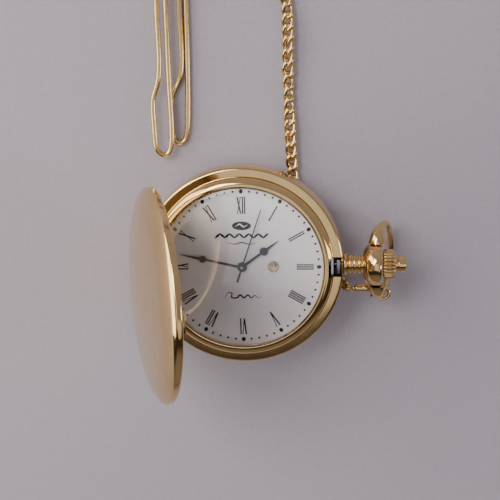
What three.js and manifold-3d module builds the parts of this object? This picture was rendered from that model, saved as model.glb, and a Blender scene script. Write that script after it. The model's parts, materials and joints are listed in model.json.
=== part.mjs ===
// A quartz full-hunter pocket watch with its chain and belt clip, in millimetres, +Z up.
// The watch lies on its domed back and is propped on its bow, which is folded behind the case.
// Inside the watch group +X points to III and the crown, +Y to XII, +Z out of the dial,
// and z = 0 is the axis of the winding stem.
import * as THREE from 'three';
import { mergeVertices } from 'three/addons/utils/BufferGeometryUtils.js';
import Module from 'manifold-3d';

const wasm = await Module();
wasm.setup();

// ---- driving dimensions ----
const ROUND = 36;               // segments round the case
const MEDIUM = 20;
const SMALL = 14;
const TINY = 10;

const CASE_R = 24.0;
const BAND_BOTTOM = -3.2;
const BAND_TOP = 2.8;
const CAVITY_R = 20.9;
const GROOVE_R = 21.9;          // groove inside the band that holds the latch spring
const GROOVE_LOW = 0.75;
const GROOVE_HIGH = 2.1;
const BACK_SEAT_R = 21.7;       // recess under the band that takes the back cover's gasket
const CATCH_SLOT_X = [20.4, 23.45];
const CATCH_SLOT_HALF = 2.4;
const BEZEL_FOOT_R = 21.75;
const BEZEL_EDGE_R = 19.5;
const BEZEL_TOP = 4.7;
const CRYSTAL_R = 19.2;
const CRYSTAL_EDGE_Z = [3.85, 4.6]; // underside and top of the glass at its edge
const CRYSTAL_RISE = 0.75;
const BACK_R = 22.9;
const BACK_FLAT_R = 12;
const BACK_FLAT_Z = -5.4;
const BACK_RIM_Z = -3.5;
const BACK_LIP_R = [20.1, 20.7]; // lip of the back cover that snaps into the case
const LID_TOP = 7.55;
const LID_FOOT = BAND_TOP + 0.2;

const HINGE_X = -24.3;
const HINGE_Z = 2.9;
const KNUCKLE_R = 0.9;
const KNUCKLE_CLEAR_R = 1.1;
const KNUCKLE_GAP = 0.15;
const HINGE_PIN_R = 0.35;
const LID_KNUCKLE_HALF = 2.0;
const CASE_KNUCKLE_END = 6.6;
const LID_OPEN = THREE.MathUtils.degToRad(70);

const DIAL_R = 20.1;
const DIAL_Z = 2.5;             // printed face
const DIAL_THICK = 0.4;
const DATE_X = 7.4;             // date aperture, towards III

const PENDANT_X = 24.1;
const HEAD_X = 28.5;
const PIVOT_X = 31.9;           // bow pivots
const HEAD_END_X = 33.0;
const CROWN_X = 33.2;
const CROWN_END_X = 36.2;
const CAP_WELL_X = 35.2;        // bottom of the crown's well for the button's cap
const SHANK_WELL_X = 33.6;
const BUTTON_END_X = 38.8;
const BUTTON_TRAVEL = 0.8;
const CROWN_R = 3.55;
const CROWN_FLUTES = 22;
const STEM_R = 0.45;
const STEM_END_X = 11.5;
const STEM_HOLE_R = 0.9;

const BOW_FOLD = THREE.MathUtils.degToRad(74);
const BOW_LENGTH = 13.3;        // pivot to the middle of the wire at the apex
const BOW_HALF = 8.45;
const BOW_WIRE_R = 0.7;
const EYE_R = 2.0;
const EYE_Y = [5.25, 6.7];      // inner and outer face of each eye of the bow
const BOW_PIN_R = 0.6;
const BOW_PIN_Y = [3.1, 6.1];

// time shown, as clockwise turns from XII in degrees
const HOUR_ANGLE = 53.5;
const MINUTE_ANGLE = 282;
const SECOND_ANGLE = 18.4;

const CHAIN_R = 1.25;
const CLIP_WIRE_R = 0.65;

// ---- materials ----
const paint = (color, roughness, metalness) =>
  new THREE.MeshStandardMaterial({ color, roughness, metalness });
const GOLD = paint(0xd9b777, 0.15, 1);
const BRASS = paint(0xb99a55, 0.35, 1);
const STEEL = paint(0xa9a9ab, 0.3, 1);
const BLUED = paint(0x14161f, 0.3, 0.8);
const ENAMEL = paint(0xd9d2d2, 0.5, 0);
const GLASS = paint(0xe8f0f0, 0.05, 0);
const PLASTIC = paint(0xe4e2da, 0.5, 0);
const RUBBER = paint(0x222222, 0.9, 0);
const BOARD = paint(0x1f5b35, 0.6, 0);
const COPPER = paint(0xb4623a, 0.4, 1);

// ---- solids ----

// Merges shared corners, drops empty triangles and turns the faces outwards.
function closed(geometry) {
  const bare = geometry.index ? geometry.toNonIndexed() : geometry.clone();
  bare.deleteAttribute('normal');
  bare.deleteAttribute('uv');
  const merged = mergeVertices(bare, 1e-4);
  const place = merged.getAttribute('position');
  const kept = [];
  let volume = 0;
  const [a, b, c] = [new THREE.Vector3(), new THREE.Vector3(), new THREE.Vector3()];
  for (let i = 0; i < merged.index.count; i += 3) {
    const [p, q, r] = [0, 1, 2].map((k) => merged.index.getX(i + k));
    if (p === q || q === r || r === p) continue;
    kept.push(p, q, r);
    a.fromBufferAttribute(place, p);
    b.fromBufferAttribute(place, q);
    c.fromBufferAttribute(place, r);
    volume += a.dot(b.cross(c));
  }
  merged.setIndex(volume < 0 ? kept.reverse() : kept);
  return merged;
}

function toManifold(geometry) {
  const clean = closed(geometry);
  const vertProperties = new Float32Array(clean.getAttribute('position').array);
  const triVerts = new Uint32Array(clean.index.array);
  return new wasm.Manifold(new wasm.Mesh({ numProp: 3, vertProperties, triVerts }));
}

function fromManifold(solid) {
  const mesh = solid.getMesh();
  const geometry = new THREE.BufferGeometry();
  geometry.setAttribute('position', new THREE.Float32BufferAttribute(mesh.vertProperties, 3));
  geometry.setIndex(Array.from(mesh.triVerts));
  return geometry;
}

function join(...pieces) {
  return fromManifold(pieces.map(toManifold).reduce((sum, next) => sum.add(next)));
}

function cut(piece, ...tools) {
  return fromManifold(tools.map(toManifold).reduce((rest, tool) => rest.subtract(tool), toManifold(piece)));
}

// Turns an outline of [radius, height] corners about Z; half a step puts a flat, not a corner, at IX.
function turned(outline, segments = ROUND) {
  const corners = outline.map(([r, z]) => new THREE.Vector2(r, z));
  const openEnds = outline[0][0] === 0 && outline[outline.length - 1][0] === 0;
  if (!openEnds) corners.push(corners[0].clone());
  const geometry = new THREE.LatheGeometry(corners, segments);
  geometry.rotateX(Math.PI / 2);
  geometry.rotateZ(Math.PI / segments);
  return closed(geometry);
}

function ring(inner, outer, low, high, segments = ROUND) {
  return turned([[inner, low], [outer, low], [outer, high], [inner, high]], segments);
}

function disc(radius, low, high, segments = ROUND) {
  return turned([[0, low], [radius, low], [radius, high], [0, high]], segments);
}

// These lay a solid made about Z along X or along Y, so that its heights become x or y.
const alongX = (geometry) => geometry.rotateY(Math.PI / 2);
const alongY = (geometry) => geometry.rotateX(-Math.PI / 2);

function block(x0, x1, y0, y1, z0, z1) {
  const geometry = new THREE.BoxGeometry(x1 - x0, y1 - y0, z1 - z0);
  return geometry.translate((x0 + x1) / 2, (y0 + y1) / 2, (z0 + z1) / 2);
}

function plate(shape, low, high, curveSegments = SMALL) {
  const geometry = new THREE.ExtrudeGeometry(shape, { depth: high - low, bevelEnabled: false, curveSegments });
  return geometry.translate(0, 0, low);
}

// A round wire along a smooth curve through the points.
function wire(points, radius, sides, steps) {
  const section = new THREE.Shape();
  for (let i = 0; i < sides; i += 1) {
    const angle = (2 * Math.PI * i) / sides;
    const corner = [radius * Math.cos(angle), radius * Math.sin(angle)];
    if (i === 0) section.moveTo(...corner);
    else section.lineTo(...corner);
  }
  section.closePath();
  const curve = new THREE.CatmullRomCurve3(points.map((p) => new THREE.Vector3(...p)), false, 'centripetal');
  return new THREE.ExtrudeGeometry(section, { steps, extrudePath: curve, bevelEnabled: false });
}

// A toothed disc, its tips kept just clear of the wheel it works with.
const TOOTH_DEPTH = 0.16;
const TIP_CLEARANCE = 0.06;
function toothed(teeth, radius, low, high) {
  const depth = Math.min(TOOTH_DEPTH, (Math.PI * radius) / teeth);
  const shape = new THREE.Shape();
  for (let i = 0; i < 2 * teeth; i += 1) {
    const angle = (Math.PI * i) / teeth;
    const r = radius - TIP_CLEARANCE - (i % 2 ? depth : 0);
    if (i === 0) shape.moveTo(r, 0);
    else shape.lineTo(r * Math.cos(angle), r * Math.sin(angle));
  }
  shape.closePath();
  return plate(shape, low, high);
}

// ---- scene graph ----
const watch = new THREE.Group();
const table = new THREE.Group();
const model = new THREE.Group();
model.add(watch, table);

function add(name, geometry, material, parent = watch) {
  const mesh = new THREE.Mesh(closed(geometry), material);
  mesh.name = name;
  parent.add(mesh);
  return mesh;
}

// ---- case ----

// Back dome: flat in the middle, then curving up to the rim.
const BACK_STEPS = 5;
const backHeight = (r) =>
  BACK_FLAT_Z + (BACK_RIM_Z - BACK_FLAT_Z) * Math.max(0, (r - BACK_FLAT_R) / (BACK_R - BACK_FLAT_R)) ** 2;
const backRadii = Array.from({ length: BACK_STEPS + 1 }, (_, i) =>
  BACK_FLAT_R + ((BACK_R - BACK_FLAT_R) * i) / BACK_STEPS);

// The wall round the movement, with a step on top for the bezel, the spring's groove,
// the seat of the hinge at IX, the stem's hole and the slot that the lid's catch drops into at III.
function caseBand() {
  const bezelStepR = 21.3;
  const bezelStepTop = BAND_TOP + 0.9;
  const outline = [
    [CAVITY_R, bezelStepTop], [CAVITY_R, GROOVE_HIGH], [GROOVE_R, GROOVE_HIGH],
    [GROOVE_R, GROOVE_LOW], [CAVITY_R, GROOVE_LOW],
    [CAVITY_R, -2.6], [BACK_SEAT_R, -2.6], [BACK_SEAT_R, BAND_BOTTOM - 0.1], [23.3, BAND_BOTTOM - 0.1],
    [23.85, BAND_BOTTOM + 0.5], [CASE_R, -1.2], [CASE_R, 1.6], [23.8, BAND_TOP],
    [bezelStepR, BAND_TOP], [bezelStepR, bezelStepTop],
  ];
  const seatHalf = CASE_KNUCKLE_END + 2 * KNUCKLE_GAP;
  const hingeSeat = block(HINGE_X - 1.7, HINGE_X + 1.05, -seatHalf, seatHalf, 1.15, 3.5);
  const stemHole = alongX(disc(STEM_HOLE_R, CAVITY_R - 2, CASE_R + 1, SMALL));
  return cut(turned(outline), hingeSeat, stemHole, catchSlot(0.6, bezelStepTop + 0.3));
}

function catchSlot(low, high) {
  return block(...CATCH_SLOT_X, -CATCH_SLOT_HALF, CATCH_SLOT_HALF, low, high);
}

function bezel() {
  const outline = [
    [BEZEL_EDGE_R, 3.8], [21.4, 3.8], [21.4, BAND_TOP + 0.15], [BEZEL_FOOT_R, BAND_TOP + 0.15],
    [21.6, 3.5], [21.1, 4.15], [20.4, 4.6], [19.8, BEZEL_TOP], [BEZEL_EDGE_R, 4.6],
  ];
  return cut(turned(outline), catchSlot(2.5, BEZEL_TOP + 0.3));
}

// A shallow dome of glass between two paraboloids.
function crystal() {
  const steps = 3;
  const [under, over] = CRYSTAL_EDGE_Z.map((edgeZ) => Array.from({ length: steps + 1 }, (_, i) => {
    const share = i / steps;
    return [CRYSTAL_R * share, edgeZ + CRYSTAL_RISE * (1 - share ** 2)];
  }));
  return turned([...under, ...over.reverse()]);
}

function crystalGasket() {
  return ring(CRYSTAL_R + 0.07, BEZEL_EDGE_R - 0.07, CRYSTAL_EDGE_Z[0] + 0.02, CRYSTAL_EDGE_Z[1] - 0.1);
}

// The sloping ring between the dial's edge and the glass.
function rehaut() {
  const [foot, top] = [DIAL_Z + 0.05, CRYSTAL_EDGE_Z[0] - 0.1];
  return turned([[19.1, foot], [20.2, foot], [20.2, top], [19.25, top]]);
}

function backCover() {
  const outline = [[0, BACK_FLAT_Z]];
  for (const r of backRadii) outline.push([r, backHeight(r)]);
  const [lipInner, lipOuter] = BACK_LIP_R;
  const insideZ = BACK_FLAT_Z + 0.8;
  outline.push(
    [BACK_R - 0.2, BAND_BOTTOM - 0.2], [lipOuter, BAND_BOTTOM - 0.2], [lipOuter, -2.75],
    [lipInner, -2.75], [lipInner, -3.7], [BACK_FLAT_R, insideZ], [0, insideZ],
  );
  return turned(outline);
}

function backGasket() {
  return ring(BACK_LIP_R[1] + 0.1, BACK_SEAT_R - 0.1, BAND_BOTTOM - 0.1, -2.7);
}

// A split ring that pushes the latch out; it leaves the quarter round III free.
function latchSpring() {
  const openFromX = 9;
  const [inner, outer] = [CAVITY_R + 0.2, GROOVE_R - 0.3];
  return cut(ring(inner, outer, GROOVE_LOW + 0.1, GROOVE_HIGH - 0.2), block(-30, openFromX, -30, 30, -5, 5));
}

function latch() {
  const half = 1.75;
  return block(22.3, 23.15, -half, half, 1.0, 2.75);
}

// ---- hinge and lid ----

const KNUCKLE_SIDES = 16;
const atHinge = (geometry) => geometry.translate(HINGE_X, 0, HINGE_Z);

// A barrel round the hinge pin with a leaf that runs into the case or the lid.
function knuckle(from, to, leafLow, leafHigh) {
  const boreR = HINGE_PIN_R + 0.1;
  const barrel = atHinge(alongY(ring(boreR, KNUCKLE_R, from, to, KNUCKLE_SIDES)));
  const leaf = block(HINGE_X - 0.75, HINGE_X + 0.9, from, to, leafLow, leafHigh);
  const bore = atHinge(alongY(disc(boreR, from - 1, to + 1, KNUCKLE_SIDES)));
  return cut(join(barrel, leaf), bore);
}

function hingePin() {
  return atHinge(alongY(disc(HINGE_PIN_R, -CASE_KNUCKLE_END, CASE_KNUCKLE_END, KNUCKLE_SIDES)));
}

// A domed cap with a straight skirt, drawn closed over the dial.
function lid() {
  const outside = [
    [22.3, LID_FOOT], [23.8, LID_FOOT], [CASE_R, 3.3], [CASE_R, 4.3], [23.6, 5.05],
    [22.4, 5.75], [19.5, 6.35], [14.5, 6.95], [8, 7.4], [0, LID_TOP],
  ];
  const inside = [[0, LID_TOP - 0.8], [14, 6.2], [19.5, 5.5], [21.4, 5.0], [22.2, 4.3]];
  const seatHalf = CASE_KNUCKLE_END + 2 * KNUCKLE_GAP;
  const seat = atHinge(alongY(disc(KNUCKLE_CLEAR_R, -seatHalf, seatHalf, SMALL)));
  const leafHalf = LID_KNUCKLE_HALF + KNUCKLE_GAP;
  const leafSeat = block(HINGE_X - 1.7, HINGE_X + 1.0, -leafHalf, leafHalf, 2.5, 4.55);
  return cut(turned([...outside, ...inside]), seat, leafSeat);
}

// A tongue under the lid's edge at III that hooks behind the latch when the lid is shut.
function lidCatch() {
  const half = 1.9;
  const top = 4.0;
  const tongue = block(21.3, 21.9, -half, half, 2.15, top);
  const root = block(21.5, 22.05, -half, half, 3.2, top);
  return join(tongue, root);
}

// ---- pendant, bow and crown ----

const SLEEVE_HOLE_R = 1.2;

// A short neck with a collar on the case and three raised rings.
function pendantTube() {
  const neckR = 2.0;
  const ringR = 2.35;
  const collarR = 2.7;
  const end = HEAD_X - 0.1;
  const outline = [
    [SLEEVE_HOLE_R, PENDANT_X], [collarR, PENDANT_X], [collarR, PENDANT_X + 0.5], [neckR, PENDANT_X + 0.8],
  ];
  for (const ridge of [25.45, 26.55, 27.65]) {
    outline.push([neckR, ridge - 0.4], [ringR, ridge - 0.15], [ringR, ridge + 0.15], [neckR, ridge + 0.4]);
  }
  outline.push([neckR, end], [SLEEVE_HOLE_R, end]);
  return alongX(turned(outline, SMALL));
}

// The bow's two pin holes, on both sides of the stem.
const pinHoles = (from, to) => [-1, 1].map((side) =>
  alongY(disc(BOW_PIN_R + 0.1, from, to, TINY)).scale(1, side, 1));

// The rounded head, flat where the bow's eyes turn against it.
function pendantHead() {
  const outline = [
    [SLEEVE_HOLE_R, HEAD_X], [2.6, HEAD_X], [3.7, 28.8], [4.55, 29.35], [5.05, 30.1], [5.3, 31.0],
    [5.35, 31.9], [5.1, 32.6], [4.6, HEAD_END_X], [SLEEVE_HOLE_R, HEAD_END_X],
  ];
  const flatY = 5.15;
  const head = alongX(turned(outline, MEDIUM));
  const flats = [[-flatY - 0.9, -flatY], [flatY, flatY + 0.9]].map(([y0, y1]) =>
    block(HEAD_X - 0.5, HEAD_END_X + 1, y0, y1, -6, 6));
  const holes = pinHoles(BOW_PIN_Y[0] - 0.1, 6).map((hole) => hole.translate(PIVOT_X, 0, 0));
  return cut(head, ...flats, ...holes);
}

function crownSleeve() {
  return alongX(ring(STEM_R + 0.15, SLEEVE_HOLE_R - 0.15, PENDANT_X + 0.9, HEAD_END_X - 0.2, SMALL));
}

function stem() {
  return alongX(disc(STEM_R, STEM_END_X, CROWN_X - 0.1, SMALL));
}

// The bow is drawn with its length along +X from the pivot axis, then folded back about Y.
function bow() {
  const side = [[0.7, 6.5], [2.4, 7.75], [5.2, BOW_HALF], [8.4, 7.9], [11.2, 5.6], [12.85, 2.7]];
  const points = [
    ...side.map(([x, y]) => [x, -y, 0]),
    [BOW_LENGTH, 0, 0],
    ...side.map(([x, y]) => [x, y, 0]).reverse(),
  ];
  const loop = wire(points, BOW_WIRE_R, 8, 22);
  const rootR = 1.3;
  const limbR = 0.95;
  const ends = [];
  for (const hand of [-1, 1]) {
    ends.push(alongY(disc(EYE_R, ...EYE_Y, SMALL)).scale(1, hand, 1));
    ends.push(limb([0.7, hand * 6.65, 0], [3.0, hand * 7.95, 0], rootR, limbR));
    ends.push(limb([2.9, hand * 7.9, 0], [7.2, hand * 8.3, 0], limbR, BOW_WIRE_R));
  }
  return cut(join(loop, ...ends), ...pinHoles(EYE_Y[0] - 0.25, BOW_PIN_Y[1] + 0.1));
}

function bowPin(side) {
  return alongY(disc(BOW_PIN_R, ...BOW_PIN_Y, TINY)).scale(1, side, 1).translate(PIVOT_X, 0, 0);
}

// A tapered round bar between two points.
function limb(from, to, fromR, toR) {
  const a = new THREE.Vector3(...from);
  const b = new THREE.Vector3(...to);
  const length = a.distanceTo(b);
  const bar = new THREE.CylinderGeometry(toR, fromR, length, TINY);
  const along = b.clone().sub(a).normalize();
  const turn = new THREE.Quaternion().setFromUnitVectors(new THREE.Vector3(0, 1, 0), along);
  bar.applyQuaternion(turn);
  return bar.translate(...a.add(b).multiplyScalar(0.5).toArray());
}

const WELL_R = 2.15;
const SHANK_HOLE_R = 1.0;

// A fluted wheel with a stepped well for the button.
function crown() {
  const fluteDepth = 0.3;
  const coreR = 3.25;
  const shape = new THREE.Shape();
  const steps = 2 * CROWN_FLUTES;
  for (let i = 0; i < steps; i += 1) {
    const angle = (2 * Math.PI * i) / steps;
    const r = i % 2 ? CROWN_R - fluteDepth : CROWN_R;
    const corner = [r * Math.cos(angle), r * Math.sin(angle)];
    if (i === 0) shape.moveTo(...corner);
    else shape.lineTo(...corner);
  }
  shape.closePath();
  const fluted = plate(shape, CROWN_X + 0.3, CROWN_END_X - 0.3);
  const core = turned([[0, CROWN_X], [coreR - 0.15, CROWN_X], [coreR, CROWN_X + 0.4],
    [coreR, CROWN_END_X - 0.4], [coreR - 0.25, CROWN_END_X], [0, CROWN_END_X]], MEDIUM);
  const well = turned([[0, SHANK_WELL_X], [SHANK_HOLE_R, SHANK_WELL_X], [SHANK_HOLE_R, CAP_WELL_X],
    [WELL_R, CAP_WELL_X], [WELL_R, CROWN_END_X + 1], [0, CROWN_END_X + 1]], MEDIUM);
  return alongX(cut(join(fluted, core), well));
}

function crownButton() {
  const shankX = SHANK_WELL_X + BUTTON_TRAVEL + 0.1;
  const capX = CAP_WELL_X + BUTTON_TRAVEL + 0.1;
  const shankR = SHANK_HOLE_R - 0.15;
  const capR = WELL_R - 0.15;
  const outline = [[0, shankX], [shankR, shankX], [shankR, capX], [capR, capX], [capR, BUTTON_END_X - 0.3],
    [capR - 0.25, BUTTON_END_X], [0, BUTTON_END_X]];
  return alongX(turned(outline, MEDIUM));
}

// ---- dial and hands ----
const HOUR_HAND_Z = [2.85, 3.0];
const MINUTE_HAND_Z = [3.2, 3.35];
const SECOND_HAND_Z = [3.6, 3.72];
const HAND_TIP = 14.9;

const clockwise = (degrees) => THREE.MathUtils.degToRad(90 - degrees);

function dial() {
  const centreHole = disc(1.05, 1, 4, SMALL);
  const dateHole = disc(1.4, 1, 4, SMALL).translate(DATE_X, 0, 0);
  return cut(disc(DIAL_R, DIAL_Z - DIAL_THICK, DIAL_Z), centreHole, dateHole);
}

function dateWindowRim() {
  return ring(0.95, 1.3, DIAL_Z - 0.35, DIAL_Z + 0.12, 24).translate(DATE_X, 0, 0);
}

// A tapered hand along +X with a filled disc on its shaft.
function hand({ hubR, shaftR, discX, discR, tipX, boreR, heights: [low, high] }) {
  const tipHalf = 0.05;
  const shaft = new THREE.Shape();
  shaft.moveTo(0, -shaftR);
  shaft.lineTo(discX, -shaftR * 0.8);
  shaft.lineTo(tipX, -tipHalf);
  shaft.lineTo(tipX, tipHalf);
  shaft.lineTo(discX, shaftR * 0.8);
  shaft.lineTo(0, shaftR);
  shaft.closePath();
  const blade = join(plate(shaft, low, high), disc(hubR, low, high, SMALL),
    disc(discR, low, high, SMALL).translate(discX, 0, 0));
  return cut(blade, disc(boreR, low - 1, high + 1, SMALL));
}

function hourHand() {
  const blade = hand({
    hubR: 1.2, shaftR: 0.28, discX: 6.45, discR: 1.0, tipX: 10.9, boreR: 0.9, heights: HOUR_HAND_Z,
  });
  return blade.rotateZ(clockwise(HOUR_ANGLE));
}

function minuteHand() {
  const blade = hand({
    hubR: 1.07, shaftR: 0.25, discX: 9.5, discR: 0.85, tipX: HAND_TIP, boreR: 0.5, heights: MINUTE_HAND_Z,
  });
  return blade.rotateZ(clockwise(MINUTE_ANGLE));
}

function secondHand() {
  const tailX = -3.75;
  const [low, high] = SECOND_HAND_Z;
  const hub = disc(0.7, low, high, SMALL);
  const needle = block(tailX, HAND_TIP, -0.09, 0.09, low, high);
  const weight = block(tailX, tailX + 2, -0.35, 0.35, low, high);
  return cut(join(hub, needle, weight), disc(0.17, 3, 4, 12)).rotateZ(clockwise(SECOND_ANGLE));
}

// ---- clasp, hooked round the lower limb of the bow beside the pendant ----
const CLASP_Y = -7.2;
const CLASP_Z = -4.0;
const SWIVEL_X = 25.0;
const BARREL_END_X = 30.3;
const hookPath = [
  [30.0, 0.2, 0], [32.2, 0.45, 0], [33.7, 0.4, 0], [34.8, -0.6, 0], [34.7, -1.9, 0], [33.9, -2.6, 0],
  [32.9, -2.75, 0],
];
const atClasp = (geometry) => geometry.translate(0, CLASP_Y, CLASP_Z);

function claspBody() {
  const hook = wire(hookPath, 0.45, 8, 14);
  const barrel = alongX(disc(1.0, 26.6, BARREL_END_X, SMALL));
  const neck = alongX(disc(0.6, SWIVEL_X + 1.1, 26.9, SMALL));
  return atClasp(join(hook, barrel, neck));
}

function claspLever() {
  return atClasp(block(BARREL_END_X + 0.05, BARREL_END_X + 0.55, -2.1, -0.4, -0.4, 0.4));
}

function claspSwivel() {
  return atClasp(alongY(ring(0.55, 1.0, -0.3, 0.3, SMALL)).translate(SWIVEL_X, 0, 0));
}

// ---- quartz movement ----
const HOLDER_Z = [-2.6, 1.95];
const MAIN_PLATE_Z = [0.7, 1.3];
const BRIDGE_Z = [-1.55, -1.15];
const BOARD_Z = [-1.95, -1.7];
const MAIN_PLATE_R = 13.9;
const DATE_RING_R = [6.3, 8.7];
const DATE_RING_Z = [1.72, 1.9];

const polar = (radius, degrees) => {
  const angle = THREE.MathUtils.degToRad(degrees);
  return [radius * Math.cos(angle), radius * Math.sin(angle)];
};
const ROTOR_AT = polar(4.64, 100);
const INTERMEDIATE_AT = polar(2.4, 100);
const THIRD_AT = polar(2.6, 215);
const MINUTE_WHEEL_AT = polar(2.4, 20);
const BATTERY_AT = [4.5, -9];

function movementHolder() {
  return cut(ring(MAIN_PLATE_R + 0.2, CAVITY_R - 0.4, ...HOLDER_Z), alongX(disc(STEM_HOLE_R, 10, 25, SMALL)));
}

// The plate that everything sits on, with holes for the centre arbors and the minute wheel's post.
function mainPlate() {
  const centreHole = disc(1.2, -3, 3, SMALL);
  const postHole = disc(0.3, 0, 2, 12).translate(...MINUTE_WHEEL_AT, 0);
  return cut(disc(MAIN_PLATE_R, ...MAIN_PLATE_Z), centreHole, postHole);
}

function trainBridge() {
  return cut(block(-7, 7, -4.4, 6.4, ...BRIDGE_Z), disc(0.3, -2, 0, 12));
}

function circuitBoard() {
  const batteryHole = disc(4.2, -3, 0, MEDIUM).translate(...BATTERY_AT, 0);
  const coilHole = block(-5.5, 5.5, 6.8, 9.6, -3, 0);
  return cut(disc(MAIN_PLATE_R - 0.3, ...BOARD_Z), batteryHole, coilHole);
}

function battery() {
  const outline = [[0, -2.3], [3.6, -2.3], [3.9, -2.0], [3.9, -0.3], [2.9, -0.2], [0, -0.2]];
  return turned(outline, MEDIUM).translate(...BATTERY_AT, 0);
}

function batteryClip() {
  const [x, y] = BATTERY_AT;
  return block(x - 1.2, x + 1.2, y - 3.6, y + 4.6, -2.6, -2.4);
}

function quartzCan() {
  return alongY(disc(0.9, -5.5, 0.2, SMALL)).translate(-9.5, 0, -0.5);
}

function stator() {
  const rotorHole = disc(0.95, -1, 1, SMALL).translate(...ROTOR_AT, 0);
  return cut(block(-6, 6, 3.6, 6.4, -0.25, 0.15), rotorHole);
}

function coil() {
  return alongX(disc(0.9, -4.5, 4.5, SMALL)).translate(0, 8.2, -0.4);
}

// An arbor with its wheel and pinion, centred on the Z axis.
function arbor(radius, low, high, ...wheels) {
  return join(disc(radius, low, high, 12), ...wheels);
}

function rotor() {
  const magnet = disc(0.7, -0.35, 0.3, SMALL);
  return arbor(0.15, -1.1, 0.4, magnet, toothed(8, 0.32, -1.02, -0.88)).translate(...ROTOR_AT, 0);
}

function intermediateWheel() {
  const wheels = [toothed(48, 1.92, -1.02, -0.88), toothed(8, 0.4, -0.78, -0.52)];
  return arbor(0.12, -1.1, -0.4, ...wheels).translate(...INTERMEDIATE_AT, 0);
}

function secondWheel() {
  return arbor(0.13, -1.45, 3.85, toothed(40, 2.0, -0.75, -0.58), toothed(8, 0.3, -0.4, -0.1));
}

function thirdWheel() {
  const wheels = [toothed(60, 2.29, -0.35, -0.15), toothed(8, 0.29, 0.22, 0.55)];
  return arbor(0.12, -0.45, 0.6, ...wheels).translate(...THIRD_AT, 0);
}

function centreWheel() {
  const body = arbor(0.45, 0.3, 3.4, toothed(64, 2.31, 0.3, 0.5), toothed(10, 0.6, 1.38, 1.58));
  return cut(body, disc(0.22, 0, 4, 12));
}

function minuteWheel() {
  const wheels = [toothed(30, 1.8, 1.4, 1.56), toothed(8, 0.48, 1.66, 1.88)];
  return arbor(0.2, 0.75, 1.9, ...wheels).translate(...MINUTE_WHEEL_AT, 0);
}

function hourWheel() {
  const pipe = disc(0.85, 1.68, 3.05, SMALL);
  return cut(join(toothed(32, 1.92, 1.68, 1.86), pipe), disc(0.55, 1, 4, SMALL));
}

function dateRing() {
  return ring(...DATE_RING_R, ...DATE_RING_Z);
}

// ---- the watch put together ----
for (const [name, geometry, material] of [
  ['case_band', caseBand(), GOLD],
  ['bezel', bezel(), GOLD],
  ['crystal', crystal(), GLASS],
  ['crystal_gasket', crystalGasket(), PLASTIC],
  ['rehaut', rehaut(), GOLD],
  ['back_cover', backCover(), GOLD],
  ['back_gasket', backGasket(), RUBBER],
  ['latch_spring', latchSpring(), STEEL],
  ['latch', latch(), STEEL],
  ['case_knuckle_lower', knuckle(-CASE_KNUCKLE_END, -LID_KNUCKLE_HALF - KNUCKLE_GAP, 1.3, HINGE_Z), GOLD],
  ['case_knuckle_upper', knuckle(LID_KNUCKLE_HALF + KNUCKLE_GAP, CASE_KNUCKLE_END, 1.3, HINGE_Z), GOLD],
  ['hinge_pin', hingePin(), STEEL],
]) add(name, geometry, material);

const lidTurn = new THREE.Group();
lidTurn.position.set(HINGE_X, 0, HINGE_Z);
lidTurn.rotation.y = -LID_OPEN;
watch.add(lidTurn);
for (const [name, geometry] of [
  ['lid', lid()],
  ['lid_catch', lidCatch()],
  ['lid_knuckle', knuckle(-LID_KNUCKLE_HALF, LID_KNUCKLE_HALF, HINGE_Z, 4.4)],
]) add(name, geometry.translate(-HINGE_X, 0, -HINGE_Z), GOLD, lidTurn);

const bowTurn = new THREE.Group();
bowTurn.position.set(PIVOT_X, 0, 0);
bowTurn.rotation.y = BOW_FOLD;
watch.add(bowTurn);
add('bow', bow(), GOLD, bowTurn);

for (const [name, geometry, material] of [
  ['pendant_tube', pendantTube(), GOLD],
  ['pendant_head', pendantHead(), GOLD],
  ['bow_pin_lower', bowPin(-1), STEEL],
  ['bow_pin_upper', bowPin(1), STEEL],
  ['crown_sleeve', crownSleeve(), BRASS],
  ['stem', stem(), STEEL],
  ['crown', crown(), GOLD],
  ['crown_button', crownButton(), GOLD],
  ['clasp_body', claspBody(), GOLD],
  ['clasp_lever', claspLever(), GOLD],
  ['clasp_swivel', claspSwivel(), GOLD],
  ['movement_holder', movementHolder(), PLASTIC],
  ['main_plate', mainPlate(), BRASS],
  ['train_bridge', trainBridge(), BRASS],
  ['circuit_board', circuitBoard(), BOARD],
  ['battery', battery(), STEEL],
  ['battery_clip', batteryClip(), BRASS],
  ['quartz_can', quartzCan(), STEEL],
  ['stator', stator(), STEEL],
  ['coil', coil(), COPPER],
  ['rotor', rotor(), STEEL],
  ['intermediate_wheel', intermediateWheel(), BRASS],
  ['second_wheel', secondWheel(), BRASS],
  ['third_wheel', thirdWheel(), BRASS],
  ['centre_wheel', centreWheel(), BRASS],
  ['minute_wheel', minuteWheel(), BRASS],
  ['hour_wheel', hourWheel(), BRASS],
  ['date_ring', dateRing(), PLASTIC],
  ['dial', dial(), ENAMEL],
  ['date_window_rim', dateWindowRim(), GOLD],
  ['hour_hand', hourHand(), BLUED],
  ['minute_hand', minuteHand(), BLUED],
  ['second_hand', secondHand(), BLUED],
]) add(name, geometry, material);

// ---- standing on the table ----

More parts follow.
